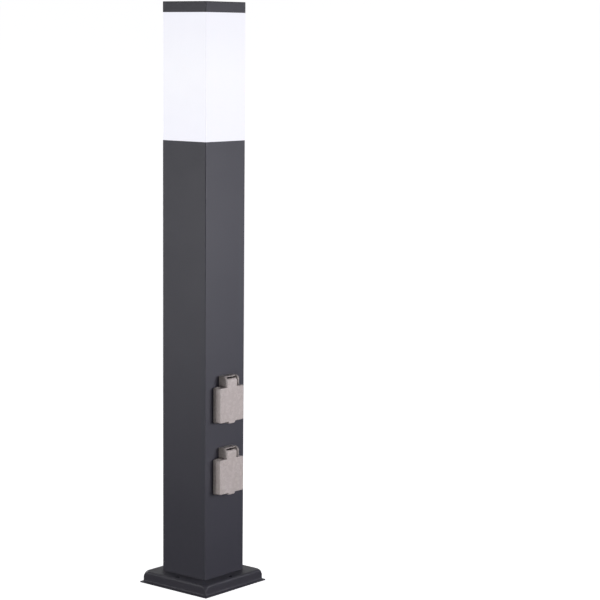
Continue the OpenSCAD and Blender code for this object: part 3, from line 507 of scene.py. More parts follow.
class Solid:
    """A closed mesh in millimetres, which other solids are fused to or carved from."""

    def __init__(self, points: Iterable[Sequence[float]], faces: Iterable[Sequence[int]]) -> None:
        """Keeps the corners and the faces that join them."""
        self.points = [Vector(p) for p in points]
        self.faces = [tuple(f) for f in faces]

    @classmethod
    def skin(cls, rings: Sequence[Sequence[Point3]], looped: bool = False) -> "Solid":
        """Covers a row of rings that all have the same number of points.

        Args:
            rings: the rings, from one end to the other.
            looped: joins the last ring to the first instead of capping both ends.

        Returns:
            The solid.
        """
        count = len(rings[0])
        points = [p for ring in rings for p in ring]
        faces: list[tuple[int, ...]] = []
        total = len(rings)
        for i in range(total if looped else total - 1):
            low, high = i * count, (i + 1) % total * count
            for k in range(count):
                n = (k + 1) % count
                faces.append((low + k, low + n, high + n, high + k))
        if not looped:
            faces.append(tuple(reversed(range(count))))
            faces.append(tuple(range((total - 1) * count, total * count)))
        return cls(points, faces)

    @classmethod
    def prism(cls, outline: Sequence[Point2], low: float, high: float,
              round_low: float = 0.0, round_high: float = 0.0) -> "Solid":
        """Extrudes an outline upwards, with its two rims rounded.

        Args:
            outline: anticlockwise points.
            low: height of the bottom.
            high: height of the top.
            round_low: radius of the bottom rim.
            round_high: radius of the top rim.

        Returns:
            The solid.
        """
        levels = [(0.0, low)]
        if round_low:
            levels = [(round_low - x, low + round_low - y)
                      for x, y in arc((0, 0), round_low, 90, 0, 4)]
        if round_high:
            levels += [(round_high - x, high - round_high + y)
                       for x, y in arc((0, 0), round_high, 0, 90, 4)]
        else:
            levels.append((0.0, high))
        return cls.skin([[(x, y, z) for x, y in inset(outline, d)] for d, z in levels])

    @classmethod
    def across(cls, outline: Sequence[Point2], low: float, high: float,
               rounding: float = 0.0) -> "Solid":
        """Extrudes an outline given as up and out along the right-hand axis.

        Args:
            outline: anticlockwise points as (up, out).
            low: left end.
            high: right end.
            rounding: radius of the rims at both ends.

        Returns:
            The solid.
        """
        made = cls.prism(outline, low, high, rounding, rounding)
        return cls([(z, x, y) for x, y, z in made.points], made.faces)

    @classmethod
    def turned(cls, profile: Sequence[Point2], steps: int = 64, looped: bool = False) -> "Solid":
        """Turns a profile of (radius, height) points about the upright axis.

        Args:
            profile: the points in order.
            steps: how many sides the round has.
            looped: whether the profile closes on itself away from the axis.

        Returns:
            The solid.
        """
        turns = [math.tau * i / steps for i in range(steps)]
        rings = [[(r * math.cos(a), r * math.sin(a), z) for a in turns] for r, z in profile]
        return cls.skin(rings, looped)

    @classmethod
    def peg(cls, radius: float, low: float, high: float, steps: int = 32) -> "Solid":
        """Makes a plain round peg on the upright axis, mostly to drill with."""
        return cls.turned(rectangle(0, radius, low, high), steps)

    @classmethod
    def countersink(cls, bore: float, low: float, top: float, rim: float) -> "Solid":
        """Makes the tool for a hole with a seat for a countersunk head.

        Args:
            bore: radius of the hole.
            low: height at which the tool starts.
            top: height of the face that the head is flush with.
            rim: how far above that face the cone has its full width.

        Returns:
            The tool, on the upright axis.
        """
        wide, deep = 3.5, 1.7
        return cls.turned([(0, low), (bore, low), (bore, top - deep), (wide, top + rim),
                           (wide, top + 1), (0, top + 1)], 40)

    @classmethod
    def drawn(cls, path: Sequence[Point3], radius: float, sides: int = 10) -> "Solid":
        """Draws a round wire along a path.

        Args:
            path: points of the wire's centre line.
            radius: radius of the wire.
            sides: how many sides its section has.

        Returns:
            The solid.
        """
        line = [Vector(p) for p in path]
        turns = [math.tau * k / sides for k in range(sides)]
        rings = []
        side = (line[1] - line[0]).orthogonal().normalized()
        for i, point in enumerate(line):
            ahead = (line[min(i + 1, len(line) - 1)] - line[max(i - 1, 0)]).normalized()
            side = (side - ahead * side.dot(ahead)).normalized()
            other = ahead.cross(side)
            rings.append([tuple(point + (side * math.cos(a) + other * math.sin(a)) * radius)
                          for a in turns])
        return cls.skin(rings)

    def moved(self, matrix: Matrix) -> "Solid":
        """Gives a copy placed by a matrix."""
        return Solid([matrix @ p for p in self.points], self.faces)

    def at(self, x: float = 0.0, y: float = 0.0, z: float = 0.0) -> "Solid":
        """Gives a copy moved by a distance along each axis."""
        return self.moved(Matrix.Translation((x, y, z)))

    def beside(self, *others: "Solid") -> "Solid":
        """Gives one solid with several separate shells.

        Args:
            others: the solids to put beside this one.

        Returns:
            The joined solid.
        """
        points, faces = list(self.points), list(self.faces)
        for other in others:
            start = len(points)
            points += other.points
            faces += [tuple(start + i for i in f) for f in other.faces]
        return Solid(points, faces)

    def mesh(self, name: str, scale: float = 1.0) -> bpy.types.Mesh:
        """Makes a clean Blender mesh.

        Args:
            name: the mesh's name.
            scale: one for millimetres.

        Returns:
            The mesh, with its faces turned outwards.
        """
        made = bpy.data.meshes.new(name)
        made.from_pydata([tuple(p * scale) for p in self.points], [], self.faces)
        work = bmesh.new()
        work.from_mesh(made)
        bmesh.ops.remove_doubles(work, verts=work.verts, dist=2e-4 * scale)
        bmesh.ops.dissolve_degenerate(work, edges=work.edges, dist=1e-4 * scale)
        bmesh.ops.recalc_face_normals(work, faces=work.faces)
        work.to_mesh(made)
        work.free()
        return made

    def fuse(self, *others: "Solid") -> "Solid":
        """Gives this solid with the others added to it."""
        return self._combine("UNION", others)

    def carve(self, *tools: "Solid") -> "Solid":
        """Gives this solid with the tools cut out of it."""
        return self._combine("DIFFERENCE", tools)

    def _combine(self, operation: str, others: Sequence["Solid"]) -> "Solid":
        """Runs Blender's exact boolean once for each of the other solids.

        Args:
            operation: the modifier's own name of the operation.
            others: the solids to add or to cut away.

        Returns:
            The result.
        """
        scene = bpy.context.scene
        held = [bpy.data.objects.new("work", s.mesh("work")) for s in (self, *others)]
        for item in held:
            scene.collection.objects.link(item)
        for other in held[1:]:
            step = held[0].modifiers.new("step", "BOOLEAN")
            step.operation, step.solver, step.object = operation, "EXACT", other
        graph = bpy.context.evaluated_depsgraph_get()
        result = bpy.data.meshes.new_from_object(held[0].evaluated_get(graph))
        made = Solid([v.co for v in result.vertices], [tuple(p.vertices) for p in result.polygons])
        waste = [item.data for item in held] + [result]
        for item in held:
            bpy.data.objects.remove(item)
        for data in waste:
            bpy.data.meshes.remove(data)
        return made


@dataclass
class Piece:
    """One visible piece: its shape, its finish, what it moves with and what it stands for."""

    name: str
    shape: Solid
    finish: Finish
    body: Body = Body.POST
    nodes: tuple[str, ...] = ()
    smooth_deg: float = 32.0

    def publish(self, place: Optional[Matrix] = None) -> bpy.types.Object:
        """Puts the piece into the scene.

        Args:
            place: where the piece's own axes go, in millimetres, or None to leave it.

        Returns:
            The new object, riding on its body.
        """
        shape = self.shape.moved(place) if place else self.shape
        rough = bpy.data.objects.new(self.name, shape.mesh(self.name, METRE))
        bpy.context.scene.collection.objects.link(rough)
        rough.data.shade_smooth()
        rough.data.set_sharp_from_angle(angle=math.radians(self.smooth_deg))
        shading = rough.modifiers.new("faces", "WEIGHTED_NORMAL")
        shading.keep_sharp = True
        graph = bpy.context.evaluated_depsgraph_get()
        final = bpy.data.meshes.new_from_object(rough.evaluated_get(graph))
        final.name = self.name
        rough.modifiers.clear()
        old, rough.data = rough.data, final
        bpy.data.meshes.remove(old)
        rough.data.materials.clear()
        rough.data.materials.append(self.finish.material())
        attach(rough, self.body.value)
        if self.nodes:
            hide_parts(*self.nodes)
        log.info("%s: %d faces, on %s", self.name, len(final.polygons), self.body.value)
        return rough


def dress(node: str, finish: Finish) -> None:
    """Gives a CAD node a finish, in its own material slots.

    Args:
        node: the node's name.
        finish: its finish.
    """
    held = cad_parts[node]
    if not held.material_slots:
        held.data.materials.append(None)
    for place in held.material_slots:
        place.material = finish.material()
    log.info("%s: the CAD solid, with %s", node, finish.name)


def dress_all(finishes: dict[str, Finish], prefix: str = "") -> None:
    """Gives each CAD node in the list its finish."""
    for node, finish in finishes.items():
        dress(prefix + node, finish)


@dataclass
class CrossScrew:
    """Screw with a cross recess, its head's top at the origin."""

    shank: float
    head: float
    head_t: float
    length: float
    flat_head: bool = True

    def shape(self) -> Solid:
        """Turns the screw and cuts its recess.

        Returns:
            The screw, pointing down.
        """
        soft = 0.15
        under = 0.25 if self.flat_head else self.head_t
        profile = [(0, -self.length), (self.shank - 0.4, -self.length),
                   (self.shank, -self.length + 0.8), (self.shank, -self.head_t),
                   (self.head, -under), (self.head, -soft), (self.head - soft, 0), (0, 0)]
        return Solid.turned(profile, 40).carve(*self.recess())

    def recess(self) -> list[Solid]:
        """Makes the two tapered blades that cut the cross.

        Returns:
            The blades, ready to be cut out of the head.
        """
        blades = []
        for turn in (0, 90):
            wide, thin = self.head * 0.6, self.head * 0.13
            rings = [[(x * wide * share, y * thin * (0.5 + share / 2), z)
                      for x, y in ((1, -1), (1, 1), (-1, 1), (-1, -1))]
                     for share, z in ((1.0, 0.2), (1.0, 0.0), (0.45, -self.head_t * 0.7))]
            blades.append(Solid.skin(rings).moved(Matrix.Rotation(math.radians(turn), 4, "Z")))
        return blades


@dataclass
class Foot:
    """Pressed steel foot: rounded shoulders, a flared lip and four fixing holes."""

    run: float = 56.1
    height: float = 16.5
    sheet: float = 2.0
    shoulder: float = 3.4
    lip: float = 3.0
    lip_t: float = 1.6
    lip_corner: float = 1.1
    lip_edge: float = 0.35
    corner_share: float = 0.62
    corner_gain: float = 7.8
    gain_from: float = 8.5
    gain_power: float = 1.3
    wall_levels: tuple[float, ...] = (11.5, 10.0)
    hole_reach: float = 51.0
    hole_d: float = 5.5
    hole_rim: float = 0.5
    post_half: float = 40.1
    post_corner: float = 1.6

    def build(self) -> None:
        """Makes the pressing and cuts the post's seat and the fixing holes."""
        shell = Solid.skin([self.ring(*level) for level in self.levels()])
        tools = [Solid.prism(soft_square(self.post_half, self.post_corner), 10, 20)]
        for turn in range(4):
            away = Vector((self.hole_reach, 0)) @ Matrix.Rotation(math.pi / 2 * turn, 2)
            tools.append(self.hole().at(away.x, away.y))
        Piece("foot_pressing", shell.carve(*tools), Finishes.FOOT_COAT,
              nodes=("base_plate",)).publish()

    def hole(self) -> Solid:
        """Makes the tool for a fixing hole whose edges are drawn in a little.

        Returns:
            The tool, on the upright axis.
        """
        r, top, rim = self.hole_d / 2, self.height, self.hole_rim
        under = top - self.sheet
        profile = [(0, under - 2), (r, under - 2), (r, top - rim)]
        profile += [(r + rim - x, y) for x, y in arc((0, top - rim), rim, 0, 90, 4)][1:]
        return Solid.turned(profile + [(r + rim, top + 1), (0, top + 1)], 40)

    def levels(self) -> list[tuple[float, float, float]]:
        """Lists the shell's section from the top's middle to the underside's.

        Returns:
            Distance out from the corner centre, height, and corner radius of each ring.
        """
        top, soft, thick = self.height, self.shoulder, self.sheet
        flare = self.lip - 0.4
        edge = self.shoulder + self.lip
        rows = [(x, top - soft + y, x) for x, y in arc((0, 0), soft, 90, 0, 10)]
        rows += [(soft, z, soft) for z in (*self.wall_levels, self.gain_from)]
        rows += [(soft + flare + x, self.lip_t + flare + y, soft + flare + x)
                 for x, y in arc((0, 0), flare, 180, 270, 6)]
        rows += [(edge - self.lip_edge + x, self.lip_t - self.lip_edge + y, self.lip_corner)
                 for x, y in arc((0, 0), self.lip_edge, 90, 0, 3)]
        rows += [(edge, 0, self.lip_corner), (soft - thick, 0, soft - thick)]
        rows += [(x, top - soft + y, x) for x, y in arc((0, 0), soft - thick, 0, 90, 6)]
        return rows

    def ring(self, out: float, z: float, corner: float) -> list[Point3]:
        """Gives one ring of the shell.

        Args:
            out: distance out from the corner centre.
            z: the ring's height.
            corner: corner radius before the share is taken and the gain near the top is added.

        Returns:
            The ring's points.
        """
        lift = max(0.0, z - self.gain_from) / (self.height - self.gain_from)
        radius = corner * self.corner_share + self.corner_gain * lift ** self.gain_power
        return [(x, y, z) for x, y in soft_square(self.run + out, radius)]


@dataclass
class Cap:
    """Folded sheet cap of the lamp head, with its two screws."""

    half: float = 40.0
    corner: float = 1.5
    low: float = 792.5
    high: float = 807.0
    sheet: float = 1.5
    hollow_corner: float = 0.3
    fold: float = 0.9
    screw_at: float = 28.0
    hole_r: float = 1.8
    screw: CrossScrew = field(default_factory=lambda: CrossScrew(1.5, 3.3, 1.6, 24.5))

    def build(self) -> None:
        """Makes the cap and sets its screws flush."""
        body = Solid.prism(soft_square(self.half, self.corner), self.low, self.high, 0.2, self.fold)
        hollow = Solid.prism(
            soft_square(self.half - self.sheet, self.hollow_corner),
            self.low - 1, self.high - self.sheet,
        )
        holes, screws = [], []
        for sign in (-1, 1):
            place = (sign * self.screw_at, sign * self.screw_at)
            holes.append(
                Solid.countersink(self.hole_r, self.high - 3, self.high, 0.1).at(*place))
            screws.append(self.screw.shape().at(*place, self.high))
        Piece("cap_shell", body.carve(hollow, *holes), Finishes.CAP_COAT, nodes=("cap",)).publish()
        Piece("cap_fixings", screws[0].beside(screws[1]), Finishes.ZINC,
              nodes=("cap_screws",)).publish()


@dataclass
class LampHead:
    """Opal lamp head: the folded cap, and the CAD solids under it."""

    cap: Cap = field(default_factory=Cap)

    def build(self) -> None:
        """Makes the cap and dresses the solids of the head."""
        self.cap.build()
        dress_all({
            "diffuser": Finishes.OPAL, "head_plate": Finishes.PRIMED,
            "cap_frame": Finishes.PRIMED, "lower_gasket": Finishes.RUBBER,
            "upper_gasket": Finishes.RUBBER, "tie_rods": Finishes.ZINC,
            "rod_nuts": Finishes.ZINC, "lamp_holder": Finishes.PALE_PLASTIC,
            "holder_parts": Finishes.BRASS, "bulb": Finishes.BULB,
        })


@dataclass
class Outlet:
    """One lidded outlet, drawn as right, up and out from its centre on the post's face."""

    side: str
    centre_z: float
    lid_body: Body
    face: float = 40.0
    seal_t: float = 0.8
    flange_half: float = 25.0
    flange_corner: float = 3.0
    flange_out: float = 5.0
    rim_out: float = 6.5
    rim_r: float = 21.0
    well_r: float = 19.5
    well_floor: float = -11.0
    cup_back: float = -13.0
    skirt_r: float = 23.4
    block_front: float = -14.0
    collar_r: float = 22.6
    collar_t: float = 1.5
    screw_at: float = 19.0
    screw_hole_r: float = 2.05
    contact_x: float = 9.5
    contact_d: float = 5.8
    screw_bore: float = 1.8
    lid_back: float = 5.3
    lid_out: float = 13.6
    lid_half: float = 24.25
    lid_corner: float = 2.5
    lid_wall: float = 1.6
    lid_face: float = 2.0
    lid_edge: float = 1.5
    tab_half: float = 7.0
    tab_drop: float = 2.5
    tab_t: float = 5.0
    hinge_low: float = 26.0
    hinge_top: float = 39.5
    hinge_out: float = 14.5
    hinge_half: float = 13.5
    hinge_r: float = 6.5
    bar_t: float = 1.4
    arm_half: float = 10.0
    arm_gap: float = 0.5
    arm_r: float = 5.7
    arm_back: float = 4.2
    arm_corner: float = 3.5
    pin_up: float = 30.1
    pin_out: float = 11.0
    pin_r: float = 0.9
    hollow: float = 4.3
    wire: float = 0.7
    coil_r: float = 1.35
    coil_half: float = 3.85
    leg_lean: float = 20.0
    seal_back: float = 6.7
    seal_depth: float = 1.8
    seal_in: float = 19.5
    seal_out: float = 21.5
    strip_half_t: float = 0.4
    strip_half: float = 3.0
    strip_slot: float = 18.4
    clamp_y: float = -13.0
    clamp_half: float = 4.0
    clamp_back: float = -30.0
    clamp_front: float = -25.0
    flange_screw: CrossScrew = field(default_factory=lambda: CrossScrew(1.75, 3.3, 1.6, 13.0))
    middle_screw: CrossScrew = field(
        default_factory=lambda: CrossScrew(1.5, 2.8, 1.6, 13.6, flat_head=False))

    def place(self) -> Matrix:
        """Gives the matrix from the outlet's axes to the post's, in millimetres."""
        return Matrix(((1, 0, 0, 0), (0, 0, -1, -self.face), (0, 1, 0, self.centre_z),
                       (0, 0, 0, 1)))

    def add(self, name: str, shape: Solid, finish: Finish, node: str,
            body: Body = Body.POST) -> None:
        """Publishes a piece of this outlet in place of one CAD node.

        Args:
            name: the piece's name without the outlet's own.
            shape: its shape in the outlet's axes.
            finish: its finish.
            node: the CAD node's name without the outlet's own.
            body: what it moves with.
        """
        piece = Piece(f"{self.side}_{name}", shape, finish, body, (f"{self.side}_{node}",))
        piece.publish(self.place())

    def build(self) -> None:
        """Makes the outlet's visible pieces and dresses the hidden ones."""
        self.add("outlet_frame", self.frame_shape(), Finishes.FRAME_PLASTIC, "frame")
        self.add("outlet_well", self.well_shape(), Finishes.WELL_PLASTIC, "insert")
        self.add("earth_spring", self.earth_shape(), Finishes.ZINC, "earth_clip")
        self.add("flange_screws", self.flange_screws(), Finishes.ZINC, "frame_screws")
        self.add("well_screw", self.well_screw(), Finishes.ZINC, "centre_screw")
        self.add("hinge_axle", self.axle_shape(), Finishes.ZINC, "hinge_pin")
        self.add("closing_coil", self.coil_shape(), Finishes.ZINC, "lid_spring")
        self.add("lid_cover", self.lid_shape(), Finishes.LID_PLASTIC, "lid", self.lid_body)
        self.add("lid_gasket", self.gasket_shape(), Finishes.RUBBER, "lid_seal", self.lid_body)
        dress_all({
            "flange_seal": Finishes.RUBBER, "contacts": Finishes.BRASS,
            "contact_block": Finishes.PHENOLIC, "terminal_screws": Finishes.ZINC,
            "rear_cover": Finishes.PHENOLIC,
        }, f"{self.side}_")

    def along_pin(self, solid: Solid, x: float = 0.0) -> Solid:
        """Lays an upright solid along the hinge pin's axis."""
        turn = Matrix.Translation((x, self.pin_up, self.pin_out)) @ Matrix.Rotation(
            math.pi / 2, 4, "Y")
        return solid.moved(turn)

    def rod(self, radius: float, half: float) -> Solid:
        """Makes a plain rod about the hinge pin's axis, used as a cutting tool."""
        return self.along_pin(Solid.peg(radius, -half, half))

    def frame_shape(self) -> Solid:
        """Makes the flange, the skirt behind it and the hinge block above it.

        Returns:
            The frame as one solid.
        """
        flange = Solid.prism(soft_square(self.flange_half, self.flange_corner), self.seal_t,
                             self.flange_out, 0.8, 0.7)
        top, out, low = self.hinge_top, self.hinge_out, self.hinge_low
        outline = [(low - 3, self.seal_t), (top, self.seal_t)]
        outline += arc((top - self.hinge_r, out - self.hinge_r), self.hinge_r, 0, 90, 10)
        outline += arc((low + 2, out - 2), 2, 90, 180, 5)
        outline += [(low, self.flange_out - 0.4), (low - 3, self.flange_out - 0.4)]
        block = Solid.across(outline, -self.hinge_half, self.hinge_half, 0.35)
        skirt = Solid.peg(self.skirt_r, self.block_front, 2, 64)
        body = flange.fuse(block, skirt)
        bore = Solid.turned([(0, self.block_front - 1), (self.rim_r + 0.1, self.block_front - 1),
                             (self.rim_r + 0.1, 3.4), (self.collar_r + 0.1, 3.4),
                             (self.collar_r + 0.1, self.flange_out - 0.3),
                             (self.collar_r + 0.5, self.flange_out + 0.1),
                             (self.collar_r + 0.5, 8), (0, 8)])
        return body.carve(bore, *self.hinge_tools(), *self.screw_tools())

    def hinge_tools(self) -> list[Solid]:
        """Makes the tools that open the hinge block for the lid's arm and its pin.

        Returns:
            The pocket, the window behind it, the mouth before it and the pin's bore.
        """
        half = self.arm_half + self.arm_gap
        top, out = self.hinge_top - self.bar_t, self.hinge_out - self.bar_t
        inner_r = self.hinge_r - self.bar_t
        outline = [(self.hinge_low - 0.4, self.hollow), (top, self.hollow)]
        outline += arc((top - inner_r, out - inner_r), inner_r, 0, 60, 6)
        outline += [(top - inner_r, self.hinge_out + 1), (self.hinge_low - 0.4, self.hinge_out + 1)]
        pocket = Solid.across(outline, -half, half)
        low, high = self.pin_up + 2.6, top - 0.6
        window = Solid.across(rectangle(low, high, -1, self.hollow + 0.5),
                              0.8 - half, half - 0.8)
        mouth = rectangle(self.hinge_low - 1, self.hinge_top + 1,
                          self.hinge_out - self.hinge_r + 2, self.hinge_out + 2)
        return [pocket, window, Solid.across(mouth, -half + 0.01, half - 0.01),
                self.rod(self.pin_r + 0.02, self.hinge_half + 1)]

    def screw_places(self) -> list[Point2]:
        """Lists where the flange's four screws are."""
        return [(x * self.screw_at, y * self.screw_at) for x in (-1, 1) for y in (-1, 1)]

    def screw_tools(self) -> list[Solid]:
        """Makes the tools that sink the flange's four screw holes."""
        sink = Solid.countersink(self.screw_hole_r, -3, self.flange_out, -0.1)
        return [sink.at(x, y) for x, y in self.screw_places()]

    def well_shape(self) -> Solid:
        """Turns the well and opens its contact holes and the earth spring's slots.

        Returns:
            The well as one solid.
        """
        back, floor, rim = self.cup_back, self.well_floor, self.rim_out
        low = self.flange_out - self.collar_t
        profile = [(0, back), (self.rim_r - 0.4, back), (self.rim_r, back + 0.4), (self.rim_r, low)]
        profile += [(self.collar_r, low), (self.collar_r, self.flange_out - 0.3),
                    (self.collar_r - 0.3, self.flange_out), (self.rim_r, self.flange_out)]
        profile += arc((self.rim_r - 0.5, rim - 0.5), 0.5, 0, 90, 4)
        profile += arc((self.well_r + 0.5, rim - 0.5), 0.5, 90, 180, 4)
        profile += arc((self.well_r - 1, floor + 1), 1, 0, -90, 5) + [(0, floor)]
        body = Solid.turned(profile, 96)
        ribs = [Solid.prism(soft_square(1.0, 0.4, 1.9), floor - 0.5, 4.4, 0, 0.4)
                .at(s * (self.well_r - 0.7)) for s in (-1, 1)]
        r = self.contact_d / 2
        hole = Solid.turned([(0, back - 1), (r, back - 1), (r, floor - 0.6), (r + 0.6, floor),
                             (r + 0.6, floor + 1), (0, floor + 1)], 40)
        tools = [hole.at(s * self.contact_x) for s in (-1, 1)]
        slot = Solid.prism(soft_square(3.3, 0.3, 0.7), back - 1, floor + 1)
        tools += [slot.at(0, s * self.strip_slot) for s in (-1, 1)]
        tools.append(Solid.peg(self.screw_bore, back - 1, floor + 1))
        return body.fuse(*ribs).carve(*tools)

    def earth_shape(self) -> Solid:
        """Bends the earth spring from one strip, with its clamp behind the contact block.

        Returns:
            The strip and the clamp as separate shells.
        """
        thick, half, back = self.strip_half_t, self.strip_half, self.block_front + 0.5
        line: list[Point2] = [(18.5, 1.4), (18.3, 0.6), (17.5, -0.5), (17.5, -1.3), (18.4, -2.6),
                              (18.4, -12.2), (17.2, back), (-17.2, back)]
        line += [(-y, z) for y, z in reversed(line[:-2])]
        outer, inner = [], []
        for i, here in enumerate(line):
            ahead = (Vector(line[min(i + 1, len(line) - 1)]) - Vector(line[max(i - 1, 0)]))
            ahead.normalize()
            side = Vector((-ahead.y, ahead.x)) * thick
            outer.append((here[0] + side.x, here[1] + side.y))
            inner.append((here[0] - side.x, here[1] - side.y))
        strip = Solid.across(outer + inner[::-1], -half, half)
        strip = strip.carve(Solid.peg(self.screw_bore, back - 1, back + 1))
        low, high = self.clamp_back, self.clamp_front
        leg = Solid.prism(soft_square(half, 0.1, thick), high - 1, back).at(0, self.clamp_y)
        block = Solid.prism(soft_square(self.clamp_half, 0.4), low, high, 0.3, 0.3)
        drills = [Solid.peg(r, low - 1, high - 1, 24).at(x, self.clamp_y)
                  for x, r in ((-1.9, 1.3), (1.9, 1.5))]
        return strip.beside(leg.fuse(block.at(0, self.clamp_y)).carve(*drills))

    def flange_screws(self) -> Solid:
        """Sets the flange's four countersunk screws."""
        screw = self.flange_screw.shape()
        return Solid([], []).beside(
            *(screw.at(x, y, self.flange_out) for x, y in self.screw_places()))

    def well_screw(self) -> Solid:
        """Sets the well's centre screw."""
        return self.middle_screw.shape().at(z=self.well_floor + self.middle_screw.head_t)

    def axle_shape(self) -> Solid:
        """Turns the hinge pin, with eased ends."""
        end, r = self.hinge_half - 0.6, self.pin_r
        return self.along_pin(Solid.turned(
            [(0, -end), (r - 0.2, -end), (r, -end + 0.2), (r, end - 0.2), (r - 0.2, end), (0, end)],
            32))

    def coil_shape(self) -> Solid:
        """Winds the double closing spring and its middle leg.

        Returns:
            The two windings and the leg as separate shells.
        """
        lean = math.radians(self.leg_lean)
        paths = [[(0.0, self.pin_up - reach * math.sin(lean), self.pin_out - reach * math.cos(lean))
                  for reach in (1.6, 3.2, 4.8, 6.8)]]
        for start, end in ((0.35, self.coil_half), (-self.coil_half, -0.35)):
            turns = (end - start) / self.wire
            steps = int(turns * 20)
            path = []
            for i in range(steps + 1):
                a = math.tau * turns * i / steps
                path.append((start + (end - start) * i / steps,
                             self.pin_up + self.coil_r * math.cos(a),
                             self.pin_out + self.coil_r * math.sin(a)))
            paths.insert(0, path)
        return Solid([], []).beside(*(Solid.drawn(p, self.wire / 2 - 0.02, 8) for p in paths))

    def lid_shape(self) -> Solid:
        """Makes the lid with its rounded front, its finger tab, its hollow and its arm.

        Returns:
            The lid as one solid.
        """
        half, edge = self.lid_half, self.lid_edge
        box = Solid.prism(soft_square(half, self.lid_corner), self.lid_back, self.lid_out,
                          0.2, edge)
        tab_low = self.lid_out - self.tab_t
        tab_line = arc((-self.tab_half + 2.2, -half - self.tab_drop + 2.2), 2.2, 180, 270, 6)
        tab_line += [(-x, y) for x, y in reversed(tab_line)]
        tab_line += [(self.tab_half, -half + 2.4), (-self.tab_half, -half + 2.4)]
        tab = Solid.prism(tab_line, tab_low, self.lid_out - 0.03, 0.4, edge - 0.1)
        low, high = self.seal_back + self.seal_depth, self.lid_out - 1.2
        ring = Solid.turned(rectangle(self.seal_in, self.seal_out, low, high), 96, looped=True)
        hollow = Solid.prism(soft_square(half - self.lid_wall, 1.5), self.lid_back - 1,
                             self.lid_out - self.lid_face, 0, 0.7)
        body = box.fuse(tab).carve(hollow).fuse(ring, self.arm_shape())
        return body.carve(*self.arm_tools())

    def arm_shape(self) -> Solid:
        """Makes the arm that joins the lid to its hinge pin.

        Returns:
            The arm, with a root that reaches into the lid.
        """
        up, out, r = self.pin_up, self.pin_out, self.arm_r
        back, front, soft = out - self.arm_back, self.lid_out - 0.04, self.arm_corner
        start = self.lid_half - 0.8
        turn = math.degrees(math.asin(self.arm_back / r))
        outline = [(start, back)] + arc((up, out), r, 180 + turn, 352, 14)
        outline += arc((up + r - soft, front - soft), soft, 3, 90, 8) + [(start, front)]
        arm = Solid.across(outline, -self.arm_half, self.arm_half, 0.6)
        root = rectangle(start - 3.2, start + 1, front - 1.2, front)
        return arm.fuse(Solid.across(root, -self.arm_half + 0.6, self.arm_half - 0.6))

    def arm_tools(self) -> list[Solid]:
        """Makes the tools for the pin's bore, the spring's pocket and its leg's slot.

        Returns:
            The three tools.
        """
        low = self.pin_up - self.arm_r * math.sin(math.radians(self.leg_lean)) - 1
        slot = rectangle(low, low + 13, self.pin_out - self.arm_r - 1, self.pin_out + 0.8)
        return [self.rod(self.pin_r + 0.08, self.arm_half + 1),
                self.rod(2.0, self.coil_half + 0.45), Solid.across(slot, -0.8, 0.8)]

    def gasket_shape(self) -> Solid:
        """Turns the lid's seal, with a rounded lip towards the rim.

        Returns:
            The seal.
        """
        low, high = self.seal_back, self.seal_back + self.seal_depth
        lip = (self.seal_out - self.seal_in) / 2
        profile = arc((self.seal_in + lip, low + lip), lip, 180, 360, 8)
        profile += [(self.seal_out, high), (self.seal_in, high)]
        return Solid.turned(profile, 96, looped=True)


